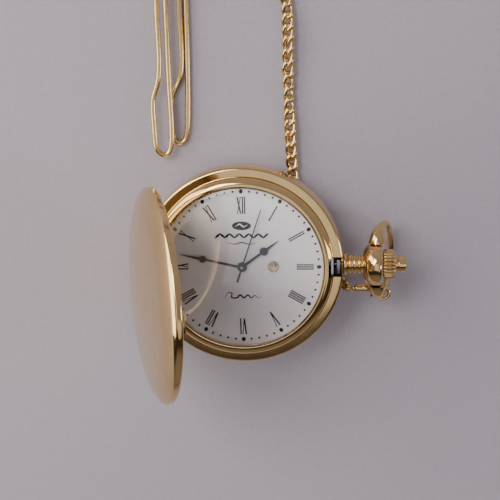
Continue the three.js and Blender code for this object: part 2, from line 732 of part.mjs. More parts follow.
// The tilt at which the back dome and the apex of the folded bow touch one plane.
function propAngle() {
  const apexX = PIVOT_X + BOW_LENGTH * Math.cos(BOW_FOLD);
  const apexZ = -BOW_LENGTH * Math.sin(BOW_FOLD);
  const facet = Math.cos(Math.PI / ROUND);
  const heights = (tilt) => {
    const height = (x, z) => x * Math.sin(tilt) + z * Math.cos(tilt);
    const back = Math.min(...backRadii.map((r) => height(-r * facet, backHeight(r))));
    return [height(apexX, apexZ) - BOW_WIRE_R, back];
  };
  let [low, high] = [0, 0.5];
  for (let i = 0; i < 50; i += 1) {
    const middle = (low + high) / 2;
    const [apex, back] = heights(middle);
    if (apex < back) low = middle;
    else high = middle;
  }
  return { tilt: low, drop: heights(low)[1] };
}

const prop = propAngle();
watch.rotation.y = -prop.tilt;
watch.position.z = -prop.drop;

// Chain: along the table under the case, out past I, up, and back in two folds to the belt clip.
const CHAIN_Z = CHAIN_R + 0.05; // its middle, just clear of the table
const chainRoute = [
  [21.8, -5.6], [20.6, -4.2], [18.4, -0.6], [16.4, 4.2], [14.8, 10], [13.6, 15.5], [12.9, 20], [12.5, 27],
  [12.3, 33], [12.1, 40], [12.0, 47], [12.1, 55], [11.6, 61.5], [8.4, 66.8], [3.0, 68.4], [-2.2, 69.0],
  [-5.6, 72.2], [-5.6, 76.6], [-2.2, 79.6], [4, 80], [11, 80], [18, 80.2], [22.6, 82.4], [23.6, 87],
  [20.4, 90.6], [14, 91.2], [6, 91.2], [-2, 91.2], [-9, 91], [-14.4, 88.8], [-16.8, 83.6], [-16.4, 77.6],
];
add('chain', wire(chainRoute.map(([x, y]) => [x, y, CHAIN_Z]), CHAIN_R, 8, 64), GOLD, table);

// Belt clip: one wire bent into a lower and an upper hairpin that join over the top.
const LOW_Z = CLIP_WIRE_R + 0.1;
const HIGH_Z = 2.4;
const clipRoute = [
  [-11.4, 72, LOW_Z], [-11.5, 60, LOW_Z], [-11.6, 45, LOW_Z], [-12.2, 31, LOW_Z], [-12.9, 28.9, LOW_Z],
  [-14.1, 28.4, LOW_Z], [-15.2, 29.2, LOW_Z], [-15.6, 31, LOW_Z], [-15.5, 39, LOW_Z], [-13.3, 44.6, LOW_Z],
  [-13.1, 60, LOW_Z], [-13.3, 70, LOW_Z], [-14.2, 73.6, 1.2], [-15.6, 74.6, 1.9], [-17.2, 73.4, HIGH_Z],
  [-18.2, 70, HIGH_Z], [-18.3, 60, HIGH_Z], [-18.4, 44.6, HIGH_Z], [-19.9, 39, HIGH_Z], [-19.9, 33, HIGH_Z],
  [-19.6, 28.2, HIGH_Z], [-18.9, 26.5, HIGH_Z], [-17.8, 25.9, HIGH_Z], [-16.7, 26.5, HIGH_Z],
  [-16.0, 28.6, HIGH_Z], [-16.1, 45, HIGH_Z], [-16.2, 60, HIGH_Z], [-16.3, 71, HIGH_Z],
];
add('belt_clip', wire(clipRoute, CLIP_WIRE_R, 8, 52), GOLD, table);

// The origin goes under the middle of the watch itself, on the table.
model.updateMatrixWorld(true);
const box = new THREE.Box3().setFromObject(watch, true);
const middle = box.getCenter(new THREE.Vector3());
model.position.set(-middle.x, -middle.y, 0);
model.updateMatrixWorld(true);

export default model;
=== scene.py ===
"""Looks of a gold hunter pocket watch with chain and belt clip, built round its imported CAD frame.

Lengths in the tables are millimetres in the watch's own frame: +X to III, +Y to XII, +Z out of the dial.
The chain and the clip are in millimetres on the table, with the watch's middle over x = y = 0.
"""
import json
import math

import bmesh
import bpy
from mathutils import Matrix, Vector


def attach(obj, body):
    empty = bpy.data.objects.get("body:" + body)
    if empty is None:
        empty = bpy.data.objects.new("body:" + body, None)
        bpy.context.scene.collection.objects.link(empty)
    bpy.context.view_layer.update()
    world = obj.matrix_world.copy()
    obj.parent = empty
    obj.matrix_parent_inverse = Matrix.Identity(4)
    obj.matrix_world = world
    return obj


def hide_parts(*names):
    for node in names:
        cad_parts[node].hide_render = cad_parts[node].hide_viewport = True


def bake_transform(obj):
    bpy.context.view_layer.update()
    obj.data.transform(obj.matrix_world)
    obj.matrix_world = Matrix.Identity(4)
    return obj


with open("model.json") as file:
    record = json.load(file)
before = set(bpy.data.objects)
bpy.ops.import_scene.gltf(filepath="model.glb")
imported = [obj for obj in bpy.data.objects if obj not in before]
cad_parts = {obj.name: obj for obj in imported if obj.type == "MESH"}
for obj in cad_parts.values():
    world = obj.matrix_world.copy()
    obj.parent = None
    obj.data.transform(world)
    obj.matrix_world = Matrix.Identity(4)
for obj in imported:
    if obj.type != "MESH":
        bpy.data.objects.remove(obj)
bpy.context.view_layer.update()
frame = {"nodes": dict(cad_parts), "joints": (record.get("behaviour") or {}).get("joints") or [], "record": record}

# ---- driving dimensions, in millimetres ----
MM = 0.001
FINE = 160                     # segments round the case
MEDIUM = 72
SMALL = 40
CASE_R = 24.0
HINGE = (-24.3, 2.9)           # x and z of the lid's hinge
LID_OPEN = math.radians(70)
PIVOT_X = 31.9                 # bow pivots
BOW_FOLD = math.radians(74)
DIAL_LOW = 2.1
DIAL_TOP = 2.5
DIAL_R = 20.1
WINDOW_X = 7.4                 # middle of the date window
CLASP_Y = -7.2
CLASP_Z = -4.0
HOUR_TURN = 53.5               # degrees clockwise from XII
MINUTE_TURN = 282
SECOND_TURN = 18.4

# ---- frames ----
joints = {j["name"]: j for j in frame["joints"]}


def watch_frame():
    """Turns millimetres of the watch's own frame into the row frame."""
    centre = Vector(joints["second_hand_turn"]["pos_m"])
    up = -Vector(joints["second_hand_turn"]["axis"]).normalized()
    three = Vector(joints["crown_turn"]["axis"]).normalized()
    twelve = up.cross(three)
    turn = Matrix((three, twelve, up)).transposed().to_4x4()
    return Matrix.Translation(centre) @ turn @ Matrix.Scale(MM, 4)


WATCH = watch_frame()
TABLE = Matrix.Translation((WATCH.translation.x, WATCH.translation.y, 0)) @ Matrix.Scale(MM, 4)
AT_HINGE = Matrix.Translation((HINGE[0], 0, HINGE[1]))
AT_PIVOT = Matrix.Translation((PIVOT_X, 0, 0))
LID = WATCH @ AT_HINGE @ Matrix.Rotation(-LID_OPEN, 4, "Y") @ Matrix.Translation((-HINGE[0], 0, -HINGE[1]))
BOW = WATCH @ AT_PIVOT @ Matrix.Rotation(BOW_FOLD, 4, "Y")
CLASP = WATCH @ Matrix.Translation((0, CLASP_Y, CLASP_Z))


def add_object(name, data):
    obj = bpy.data.objects.new(name, data)
    bpy.context.scene.collection.objects.link(obj)
    return obj


# ---- camera ----
def camera():
    """Looks at the dial from above, a little from XII and from III."""
    target = Vector((1.897, 4.025, 2.5))
    towards_twelve = math.radians(15.12)
    towards_three = math.radians(4.874)
    roll = math.radians(-1.109)
    distance = 288.7
    back = Vector((math.sin(towards_three) * math.cos(towards_twelve), math.sin(towards_twelve),
                   math.cos(towards_three) * math.cos(towards_twelve)))
    right = Vector((0, 1, 0)).cross(back).normalized()
    up = back.cross(right)
    rolled_right = math.cos(roll) * right + math.sin(roll) * up
    rolled_up = math.cos(roll) * up - math.sin(roll) * right
    turn = WATCH.to_3x3().normalized()
    axes = Matrix((turn @ rolled_right, turn @ rolled_up, turn @ back)).transposed()
    data = bpy.data.cameras.new("camera")
    data.sensor_width = 36
    data.lens = 88.06
    data.clip_start = 0.01
    data.clip_end = 20
    data.dof.use_dof = False
    obj = add_object("camera", data)
    obj.matrix_world = Matrix.Translation(WATCH @ (target + distance * back)) @ axes.to_4x4()
    bpy.context.scene.camera = obj


camera()


# ---- node helpers ----
def new_material(name):
    """A material with its node tree and its shader node."""
    material = bpy.data.materials.new(name)
    material.use_nodes = True
    tree = material.node_tree
    return material, tree, tree.nodes["Principled BSDF"]


def set_inputs(node, values):
    for socket, value in values.items():
        node.inputs[socket].default_value = value


def coordinates(tree, scale=(1, 1, 1), turn=(0, 0, 0)):
    """The object's own coordinates, stretched and turned."""
    place = tree.nodes.new("ShaderNodeTexCoord")
    mapping = tree.nodes.new("ShaderNodeMapping")
    set_inputs(mapping, {"Scale": scale, "Rotation": turn})
    tree.links.new(place.outputs["Object"], mapping.inputs["Vector"])
    return mapping.outputs["Vector"]


def noise(tree, vector, scale, detail=3.0, roughness=0.55):
    node = tree.nodes.new("ShaderNodeTexNoise")
    set_inputs(node, {"Scale": scale, "Detail": detail, "Roughness": roughness})
    tree.links.new(vector, node.inputs["Vector"])
    return node.outputs["Fac"]


def ramp(tree, fac, stops):
    node = tree.nodes.new("ShaderNodeValToRGB")
    while len(node.color_ramp.elements) < len(stops):
        node.color_ramp.elements.new(0.5)
    for element, (place, colour) in zip(node.color_ramp.elements, stops):
        element.position = place
        element.color = (*colour, 1)
    tree.links.new(fac, node.inputs["Fac"])
    return node.outputs["Color"]


def spread(tree, fac, low, high, start=0.3, end=0.7):
    """Maps the range from start to end onto the one from low to high."""
    node = tree.nodes.new("ShaderNodeMapRange")
    set_inputs(node, {"From Min": start, "From Max": end, "To Min": low, "To Max": high})
    tree.links.new(fac, node.inputs["Value"])
    return node.outputs["Result"]


def bump(tree, height, strength, distance):
    node = tree.nodes.new("ShaderNodeBump")
    set_inputs(node, {"Strength": strength, "Distance": distance})
    tree.links.new(height, node.inputs["Height"])
    return node.outputs["Normal"]


def add_up(tree, a, b):
    node = tree.nodes.new("ShaderNodeMath")
    node.operation = "ADD"
    tree.links.new(a, node.inputs[0])
    tree.links.new(b, node.inputs[1])
    return node.outputs["Value"]


def link_looks(tree, shader, colour, roughness, normal):
    for output, socket in ((colour, "Base Color"), (roughness, "Roughness"), (normal, "Normal")):
        tree.links.new(output, shader.inputs[socket])


def shaded(colour, share):
    """The colour made darker or paler."""
    return tuple(min(1.0, c * share) for c in colour)


def polished(name, colour, rough, spot=260.0, wear=0.05):
    """Polished metal: slow tone changes, handling haze in the gloss and hairline scratches."""
    material, tree, shader = new_material(name)
    slow = noise(tree, coordinates(tree), spot, 4.0)
    tone = ramp(tree, slow, [(0.3, shaded(colour, 0.93)), (0.7, shaded(colour, 1.07))])
    haze = noise(tree, coordinates(tree), spot * 4, 5.0, 0.6)
    lines_a = noise(tree, coordinates(tree, (1, 14, 3), (0.3, 0.2, 0.6)), 900.0, 2.0)
    lines_b = noise(tree, coordinates(tree, (13, 1, 4), (0.1, 0.5, 1.4)), 700.0, 2.0)
    gloss = spread(tree, haze, rough, rough + wear, 0.35, 0.75)
    hairlines = bump(tree, add_up(tree, lines_a, lines_b), 0.05, 0.00002)
    link_looks(tree, shader, tone, gloss, hairlines)
    shader.inputs["Metallic"].default_value = 1.0
    return material


def plastic(name, colour, rough=0.45, grain=1800.0, depth=0.2, **sockets):
    """Moulded plastic, rubber or lacquer: a fine grain, faint mottling and uneven gloss."""
    material, tree, shader = new_material(name)
    mottled = noise(tree, coordinates(tree), grain * 0.12, 4.0)
    tone = ramp(tree, mottled, [(0.3, shaded(colour, 0.95)), (0.7, shaded(colour, 1.03))])
    fine = noise(tree, coordinates(tree), grain, 3.0)
    gloss = spread(tree, fine, rough * 0.85, rough * 1.15)
    link_looks(tree, shader, tone, gloss, bump(tree, fine, depth, 0.00003))
    set_inputs(shader, sockets)
    return material


def brushed(name, colour, rough, stretch):
    """Metal with straight graining across it."""
    material, tree, shader = new_material(name)
    lines = noise(tree, coordinates(tree, stretch), 500.0, 4.0, 0.7)
    tone = ramp(tree, lines, [(0.25, shaded(colour, 0.86)), (0.75, shaded(colour, 1.06))])
    gloss = spread(tree, lines, rough * 0.75, rough * 1.25)
    link_looks(tree, shader, tone, gloss, bump(tree, lines, 0.25, 0.00004))
    shader.inputs["Metallic"].default_value = 1.0
    return material


def clear(name, colour, rough, index):
    """Clear glass or plastic that lets shadow rays through, so that the dial under it is lit."""
    material, tree, shader = new_material(name)
    set_inputs(shader, {"Base Color": (*colour, 1), "Roughness": rough, "IOR": index,
                        "Transmission Weight": 1.0})
    smear = noise(tree, coordinates(tree), 120.0, 3.0)
    tree.links.new(bump(tree, smear, 0.02, 0.00002), shader.inputs["Normal"])
    see_through = tree.nodes.new("ShaderNodeBsdfTransparent")
    see_through.inputs["Color"].default_value = (*colour, 1)
    path = tree.nodes.new("ShaderNodeLightPath")
    mix = tree.nodes.new("ShaderNodeMixShader")
    out = tree.nodes["Material Output"]
    tree.links.new(path.outputs["Is Shadow Ray"], mix.inputs["Fac"])
    tree.links.new(shader.outputs["BSDF"], mix.inputs[1])
    tree.links.new(see_through.outputs["BSDF"], mix.inputs[2])
    tree.links.new(mix.outputs["Shader"], out.inputs["Surface"])
    return material


# ---- finishes ----
GOLD_COLOUR = (0.80, 0.555, 0.255)
gold = polished("gold_polished", GOLD_COLOUR, 0.07)
gold_wire = polished("gold_wire", (0.80, 0.56, 0.25), 0.13, 420.0, 0.08)
gold_inside = polished("gold_inside", (0.78, 0.56, 0.28), 0.12)
steel = polished("steel_polished", (0.56, 0.57, 0.58), 0.2, 500.0)
dark_steel = polished("steel_dark", (0.33, 0.33, 0.34), 0.28, 500.0)
brass = brushed("brass_brushed", (0.62, 0.45, 0.18), 0.32, (1, 16, 1))
# painted shade: a dull near-black material that stands in for the shade on the walls and floor of the catch's slot
painted_slot_shade = plastic("recess_shadow", (0.012, 0.010, 0.009), 0.5, 1500.0, 0.2)
blued = plastic("blued_steel", (0.010, 0.012, 0.026), 0.3, 900.0, 0.06)
ink = plastic("printed_ink", (0.008, 0.008, 0.012), 0.5, 3000.0, 0.1, **{"Specular IOR Level": 0.1})
lacquer = plastic("dial_lacquer", (0.80, 0.750, 0.775), 0.38, 2600.0, 0.05)
date_white = plastic("date_disc", (0.74, 0.74, 0.72), 0.5, 2400.0, 0.1)
white = plastic("white_plastic", (0.70, 0.69, 0.64), 0.45, 1500.0, 0.25)
rubber = plastic("rubber_black", (0.02, 0.02, 0.02), 0.75, 1200.0, 0.4)
glass = clear("mineral_glass", (0.985, 0.99, 0.99), 0.0, 1.5)
clear_plastic = clear("clear_gasket", (0.93, 0.93, 0.90), 0.05, 1.46)


# ---- mesh helpers ----
def rounded(outline, steps=4):
    """Rounds the corners of a closed outline of (r, z) or (r, z, radius) points."""
    points = []
    count = len(outline)
    for i, corner in enumerate(outline):
        here = Vector(corner[:2])
        radius = corner[2] if len(corner) > 2 else 0
        if radius == 0:
            points.append(here)
            continue
        before = Vector(outline[i - 1][:2]) - here
        after = Vector(outline[(i + 1) % count][:2]) - here
        reach = min(radius, 0.45 * before.length, 0.45 * after.length)
        start = here + before.normalized() * reach
        end = here + after.normalized() * reach
        for k in range(steps + 1):
            t = k / steps
            points.append((1 - t) ** 2 * start + 2 * t * (1 - t) * here + t * t * end)
    return [(p.x, p.y) for p in points]


def turned_on(axis, r, h, angle):
    """A point at a radius, a height along the axis and a turn about it."""
    if axis == "Z":
        return (r * math.cos(angle), r * math.sin(angle), h)
    if axis == "X":
        return (h, r * math.cos(angle), r * math.sin(angle))
    return (r * math.sin(angle), h, r * math.cos(angle))


def faces_between(pairs, segments):
    """Faces that join the two rows of each pair; a row is a full ring of vertices or a single one."""
    faces = []
    for low, high in pairs:
        for k in range(segments):
            n = (k + 1) % segments
            ring = [low[k % len(low)], low[n % len(low)], high[n % len(high)], high[k % len(high)]]
            face = list(dict.fromkeys(ring))
            if len(face) > 2:
                faces.append(face)
    return faces


def lathe(outline, segments=FINE, axis="Z"):
    """Vertices and faces of a closed outline of (radius, height) turned about an axis."""
    verts = []
    rows = []
    for r, h in outline:
        if r < 1e-6:
            rows.append([len(verts)])
            verts.append(turned_on(axis, 0, h, 0))
        else:
            rows.append(list(range(len(verts), len(verts) + segments)))
            verts += [turned_on(axis, r, h, 2 * math.pi * k / segments) for k in range(segments)]
    pairs = list(zip(rows, rows[1:]))
    starts_and_ends_on_axis = len(rows[0]) == 1 and len(rows[-1]) == 1
    if not starts_and_ends_on_axis:
        pairs.append((rows[-1], rows[0]))
    return verts, faces_between(pairs, segments)


def cylinder(radius, start, end, axis="Z"):
    return lathe([(0, start), (radius, start), (radius, end), (0, end)], SMALL, axis)


def arc_points(radius, count, middle=(0, 0)):
    """Points at even steps round a circle in a plane."""
    turns = [2 * math.pi * k / count for k in range(count)]
    return [(middle[0] + radius * math.cos(a), middle[1] + radius * math.sin(a)) for a in turns]


def smooth_line(points, per_mm=3.0, closed=False):
    """Points at even steps along a centripetal Catmull-Rom curve through the given ones."""
    pts = [Vector(p) for p in points]
    if closed:
        pts = [pts[-1], *pts, pts[0], pts[1]]
    else:
        pts = [2 * pts[0] - pts[1], *pts, 2 * pts[-1] - pts[-2]]
    line = []
    for a, b, c, d in zip(pts, pts[1:], pts[2:], pts[3:]):
        t0 = 0.0
        t1 = (b - a).length ** 0.5
        t2 = t1 + (c - b).length ** 0.5
        t3 = t2 + (d - c).length ** 0.5
        steps = max(2, round((c - b).length * per_mm))
        for k in range(steps):
            t = t1 + (t2 - t1) * k / steps
            ab = ((t1 - t) * a + (t - t0) * b) / (t1 - t0)
            bc = ((t2 - t) * b + (t - t1) * c) / (t2 - t1)
            cd = ((t3 - t) * c + (t - t2) * d) / (t3 - t2)
            abc = ((t2 - t) * ab + (t - t0) * bc) / (t2 - t0)
            bcd = ((t3 - t) * bc + (t - t1) * cd) / (t3 - t1)
            line.append(((t2 - t) * abc + (t - t1) * bcd) / (t2 - t1))
    if not closed:
        line.append(pts[-2])
    return line


def sweep(line, radius, sides=20, closed=False, side=Vector((0, 0, 1)), round_ends=True):
    """A round bar along a line, with rounded ends; radius is a number or a function of the line's share."""
    count = len(line)
    size = radius if callable(radius) else (lambda share: radius)
    centres = [(line[i], size(i / (count - 1))) for i in range(count)]
    if not closed and round_ends:
        out_first = (line[0] - line[1]).normalized()
        out_last = (line[-1] - line[-2]).normalized()
        turns = (0.4, 0.8, 1.2, 1.5)
        lead = [(line[0] + out_first * size(0) * math.sin(a), size(0) * math.cos(a)) for a in turns[::-1]]
        tail = [(line[-1] + out_last * size(1) * math.sin(a), size(1) * math.cos(a)) for a in turns]
        centres = lead + centres + tail
    verts = []
    total = len(centres)
    normal = side.copy()
    for i, (centre, r) in enumerate(centres):
        if closed:
            tangent = centres[(i + 1) % total][0] - centres[i - 1][0]
        else:
            tangent = centres[min(i + 1, total - 1)][0] - centres[max(i - 1, 0)][0]
        tangent.normalize()
        normal = (normal - normal.dot(tangent) * tangent).normalized()
        across = tangent.cross(normal)
        for k in range(sides):
            a = 2 * math.pi * k / sides
            verts.append(centre + r * (math.cos(a) * normal + math.sin(a) * across))
    faces = []
    for i in range(total if closed else total - 1):
        j = (i + 1) % total
        for k in range(sides):
            n = (k + 1) % sides
            faces.append((i * sides + k, i * sides + n, j * sides + n, j * sides + k))
    if not closed:
        faces.append(tuple(range(sides)))
        faces.append(tuple(range((total - 1) * sides, total * sides)))
    return verts, faces


def block(x0, x1, y0, y1, z0, z1, edge=0.0):
    """A box with rounded edges."""
    bm = bmesh.new()
    bmesh.ops.create_cube(bm, size=1)
    for v in bm.verts:
        v.co = ((x0 + x1) / 2 + v.co.x * (x1 - x0), (y0 + y1) / 2 + v.co.y * (y1 - y0),
                (z0 + z1) / 2 + v.co.z * (z1 - z0))
    if edge:
        bmesh.ops.bevel(bm, geom=list(bm.edges), offset=edge, segments=3, affect="EDGES", profile=0.5)
    verts = [v.co.copy() for v in bm.verts]
    faces = [[v.index for v in f.verts] for f in bm.faces]
    bm.free()
    return verts, faces


def moved(shape, matrix):
    verts, faces = shape
    return [matrix @ Vector(v) for v in verts], faces


def together(*shapes):
    """Several closed shells as one mesh."""
    verts = []
    faces = []
    for some_verts, some_faces in shapes:
        start = len(verts)
        verts += some_verts
        faces += [[start + k for k in f] for f in some_faces]
    return verts, faces


def mesh_object(name, shape):
    """A linked object of the shape, its faces turned outwards."""
    verts, faces = shape
    mesh = bpy.data.meshes.new(name)
    mesh.from_pydata([tuple(v) for v in verts], [], faces)
    bm = bmesh.new()
    bm.from_mesh(mesh)
    bmesh.ops.recalc_face_normals(bm, faces=bm.faces)
    bm.to_mesh(mesh)
    bm.free()
    return add_object(name, mesh)


def carved(shape, tools, operation="DIFFERENCE"):
    """The shape less the tools, or joined to them."""
    obj = mesh_object("shape", shape)
    for tool_shape in tools:
        tool = mesh_object("tool", tool_shape)
        change = obj.modifiers.new("carve", "BOOLEAN")
        change.operation = operation
        change.solver = "EXACT"
        change.object = tool
        bpy.context.view_layer.update()
        deps = bpy.context.evaluated_depsgraph_get()
        mesh = bpy.data.meshes.new_from_object(obj.evaluated_get(deps))
        obj.modifiers.clear()
        obj.data = mesh
        bpy.data.objects.remove(tool)
    verts = [v.co.copy() for v in obj.data.vertices]
    faces = [list(p.vertices) for p in obj.data.polygons]
    bpy.data.objects.remove(obj)
    return verts, faces


def piece(name, shape, material, body, replaced=(), place=WATCH, sharp=34):
    """One finished piece: its mesh in the row frame, its finish, its body and the nodes it stands for."""
    obj = mesh_object(name, moved(shape, place))
    obj.data.shade_smooth()
    obj.data.set_sharp_from_angle(angle=math.radians(sharp))
    obj.data.materials.append(material)
    if body is not None:
        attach(obj, body)
    if replaced:
        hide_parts(*([replaced] if isinstance(replaced, str) else replaced))
    return obj


# ---- chain ----
LINK_HALF = 1.95               # middle of the wire at a link's end, from its centre
LINK_WIDE = 1.05
LINK_WIRE = 0.52
LINK_TWIST = math.radians(45)
LINK_STEPS = 36                # points round a link
LINK_PITCH = 2.78
LINK_ROLL = math.radians(34)   # how far the loose chain rolls to either side along its length
ROLL_STEP = 0.75               # turn of the rolling wave from one link to the next
REST_GAP = 0.03                # least height of a link over the table
CHAIN_Z = 1.3
RING_X = 25.0                  # middle of the clasp's swivel ring
RING_LOW = -0.9                # where the first link hangs in it, from its middle
DROP = [(0, 0, 0), (-0.15, 0.05, -1.2), (-0.6, 0.25, -2.6), (-1.45, 0.6, -3.9), (-2.6, 1.15, -4.95)]
ON_TABLE = [
    (21.5, -5.1), (20.3, -3.5), (18.4, -0.6), (16.4, 4.2), (14.8, 10), (13.6, 15.5), (12.9, 20), (12.5, 27),
    (12.3, 33), (12.1, 40), (12.0, 47), (12.1, 55), (11.6, 61.5), (8.4, 66.8), (3.0, 68.4), (-2.2, 69.0),
    (-5.6, 72.2), (-5.6, 76.6), (-2.2, 79.6), (4, 80), (11, 80), (18, 80.2), (22.6, 82.4), (23.6, 87),
    (20.4, 90.6), (14, 91.2), (6, 91.2), (-2, 91.2), (-9, 91), (-14.4, 88.8), (-16.8, 83.6), (-16.2, 78.1),
]


def curb_link():
    """The centre line of one oval link, twisted so that linked ones lie flat."""
    line = []
    for k in range(LINK_STEPS):
        t = 2 * math.pi * k / LINK_STEPS
        x = LINK_HALF * math.cos(t)
        wide = LINK_WIDE * math.sin(t)
        twist = LINK_TWIST * math.cos(t)
        line.append(Vector((x, wide * math.cos(twist), wide * math.sin(twist))))
    return line


def chain_frames(line):
    """Link places at even steps along the line, each with the turn that lays it along the line."""
    lengths = [0.0]
    for a, b in zip(line, line[1:]):
        lengths.append(lengths[-1] + (b - a).length)
    count = round(lengths[-1] / LINK_PITCH)
    step = lengths[-1] / count
    frames = []
    i = 0
    up = Vector((1, 0, 0))
    for k in range(count):
        along = (k + 0.5) * step
        while lengths[i + 1] < along:
            i += 1
        share = (along - lengths[i]) / (lengths[i + 1] - lengths[i])
        centre = line[i].lerp(line[i + 1], share)
        ahead = line[min(i + 4, len(line) - 1)] - line[max(i - 3, 0)]
        ahead.normalize()
        up = (up - up.dot(ahead) * ahead).normalized()
        if centre.z < CHAIN_Z + 0.3:
            up = (up + Vector((0, 0, 0.5))).normalized()
            up = (up - up.dot(ahead) * ahead).normalized()
        side = up.cross(ahead)
        turn = Matrix((ahead, side, up)).transposed().to_4x4()
        roll = Matrix.Rotation(LINK_ROLL * math.sin(ROLL_STEP * k), 4, "X")
        frames.append(Matrix.Translation(centre) @ turn @ roll)
    return frames


def resting(shape):
    """The shape, lifted where it would reach below the table."""
    lowest = min(v.z for v in shape[0])
    return moved(shape, Matrix.Translation((0, 0, max(0.0, REST_GAP - lowest))))


def chain():
    ring = TABLE.inverted() @ CLASP @ Vector((RING_X, 0, RING_LOW))
    drop = [ring + Vector(step) for step in DROP]
    route = drop + [(x, y, CHAIN_Z) for x, y in ON_TABLE]
    line = smooth_line(route, 2.0)
    link = sweep(curb_link(), LINK_WIRE, 12, closed=True, side=Vector((0, 0, 1)))
    links = together(*[resting(moved(link, place)) for place in chain_frames(line)])
    obj = piece("watch_chain", links, gold_wire, None, "chain", TABLE, 60)
    row_line = [tuple(TABLE @ p) for p in line]
    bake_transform(obj)
    return obj, row_line


# ---- belt clip: one wire bent into a lower and an upper hairpin that join over the top ----
CLIP_R = 0.65
LOW = CLIP_R + 0.1             # height of the lower hairpin
HIGH = 2.4                     # and of the upper one
CLIP = [
    (-11.4, 72, LOW), (-11.5, 60, LOW), (-11.6, 45, LOW), (-12.2, 31, LOW), (-12.9, 28.9, LOW),
    (-14.1, 28.4, LOW), (-15.2, 29.2, LOW), (-15.6, 31, LOW), (-15.5, 39, LOW), (-13.3, 44.6, LOW),
    (-13.1, 60, LOW), (-13.3, 70, LOW), (-14.2, 73.6, 1.2), (-15.6, 74.6, 1.9), (-17.2, 73.4, HIGH),
    (-18.2, 70, HIGH), (-18.3, 60, HIGH), (-18.4, 44.6, HIGH), (-19.9, 39, HIGH), (-19.9, 33, HIGH),
    (-19.6, 28.2, HIGH), (-18.9, 26.5, HIGH), (-17.8, 25.9, HIGH), (-16.7, 26.5, HIGH),
    (-16.0, 28.6, HIGH), (-16.1, 45, HIGH), (-16.2, 60, HIGH), (-16.3, 71, HIGH),
]
JUMP_RING_R = 1.7
JUMP_RING_WIRE = 0.32
JUMP_RING_AT = (-15.75, 75.25, 2.08)


def clip():
    wire = sweep(smooth_line(CLIP, 1.6), CLIP_R, 18)
    return piece("clip_wire", wire, gold_wire, "root", "belt_clip", TABLE, 50)


def jump_ring():
    """The ring that joins the last link to the clip's top bend."""
    circle = [Vector((0, y, z)) for y, z in arc_points(JUMP_RING_R, 40)]
    ring = sweep(circle, JUMP_RING_WIRE, 12, closed=True, side=Vector((1, 0, 0)))
    place = TABLE @ Matrix.Translation(JUMP_RING_AT)
    return piece("clip_ring", ring, gold_wire, "root", (), place, 50)


chain_piece, chain_path = chain()
clip_piece = clip()
ring_piece = jump_ring()


# ---- case ----
SHOULDER_R = 18.6              # where the lid's dome turns down to its rim
LID_TOP = 7.55
DOME_FALL = 0.0026             # fall of the shallow dome per square millimetre of radius
EDGE_FALL = 1.0                # fall of the shoulder as a slope, and as a curve that ends upright
CURVE_FALL = 1.45
BAND_TOP = 2.8
STEM_HOLE_R = 0.9
CATCH_SLOT_X = (20.4, 23.45)   # slot that the lid's catch drops into
CATCH_SLOT_HALF = 2.4
CATCH_SLOT_FLOOR = 0.6
GLASS_R = 19.2
GLASS_LOW = 3.85               # rim of the glass's underside and of its upper side, and their rise
GLASS_HIGH = 4.6
GLASS_RISE = 0.75
BACK_FLAT_R = 12               # flat middle of the back
BACK_LOW = -5.4
BARREL_R = 0.9                 # hinge knuckles
BARREL_BORE_R = 0.45
KNUCKLE_END = 6.6


def dome_height(r):
    """The lid's outer face: a shallow dome with a faint edge where it turns down over the shoulder."""
    fall = DOME_FALL * min(r, SHOULDER_R) ** 2
    if r > SHOULDER_R:
        share = min(1.0, (r - SHOULDER_R) / (CASE_R - SHOULDER_R))
        fall += EDGE_FALL * share + CURVE_FALL * (1 - math.sqrt(max(0.0, 1 - share ** 2.2)))
    return LID_TOP - fall


def catch_slot(floor_z):
    return block(*CATCH_SLOT_X, -CATCH_SLOT_HALF, CATCH_SLOT_HALF, floor_z, BAND_TOP + 2.2)


def darken_slot(obj, top):
    """Paints shade on the walls and the floor of the catch's slot, below the top: a dull near-black material
    stands in for the shade in the slot.
    """
    obj.data.materials.append(painted_slot_shade)
    to_watch = WATCH.inverted()
    turn = to_watch.to_3x3()
    start, end = CATCH_SLOT_X
    for face in obj.data.polygons:
        x, y, z = to_watch @ face.center
        upright = abs((turn @ face.normal).normalized().z) < 0.1
        inside = start - 0.1 < x < end + 0.05 and abs(y) < CATCH_SLOT_HALF + 0.05 and z < top
        if inside and (upright or z < BAND_TOP - 0.05):
            face.material_index = 1


def case_band():
    outer = [(23.35, -3.3, 0.2), (23.85, -2.75, 0.35), (CASE_R, -1.6, 0.5), (CASE_R, 1.7, 0.5),
             (23.85, 2.5, 0.3), (23.45, BAND_TOP, 0.25)]
    inner = [(21.3, BAND_TOP), (21.3, 3.7), (20.9, 3.7), (20.9, 2.1), (21.9, 2.1), (21.9, 0.75),
             (20.9, 0.75), (20.9, -2.6), (21.7, -2.6), (21.7, -3.3)]
    ring = lathe(rounded(outer + inner, 6))
    hinge_seat = block(-26, -23.25, -6.9, 6.9, 1.15, 3.5)
    stem_hole = cylinder(STEM_HOLE_R, 19, 25, "X")
    cuts = [hinge_seat, stem_hole, catch_slot(CATCH_SLOT_FLOOR)]
    band = piece("band", carved(ring, cuts), gold, "root", "case_band")
    # painted shade on the walls and floor of the catch's slot in the band
    darken_slot(band, BAND_TOP - 0.05)


def bezel():
    """A ring whose section is a quarter of an ellipse, with a small bead at the glass."""
    turns = [math.radians(degrees) for degrees in range(0, 91, 6)]
    curve = [(19.7 + 2.05 * math.cos(a), 2.95 + 1.77 * math.sin(a)) for a in turns]
    outline = [(21.4, 2.95), *curve, (19.58, 4.69), (19.5, 4.58), (19.5, 3.8), (21.4, 3.8)]
    ring = carved(lathe(outline), [catch_slot(BAND_TOP - 0.3)])
    rim = piece("bezel_ring", ring, gold, "root", "bezel")
    # painted shade on the walls of the catch's slot in the bezel
    darken_slot(rim, 4.9)


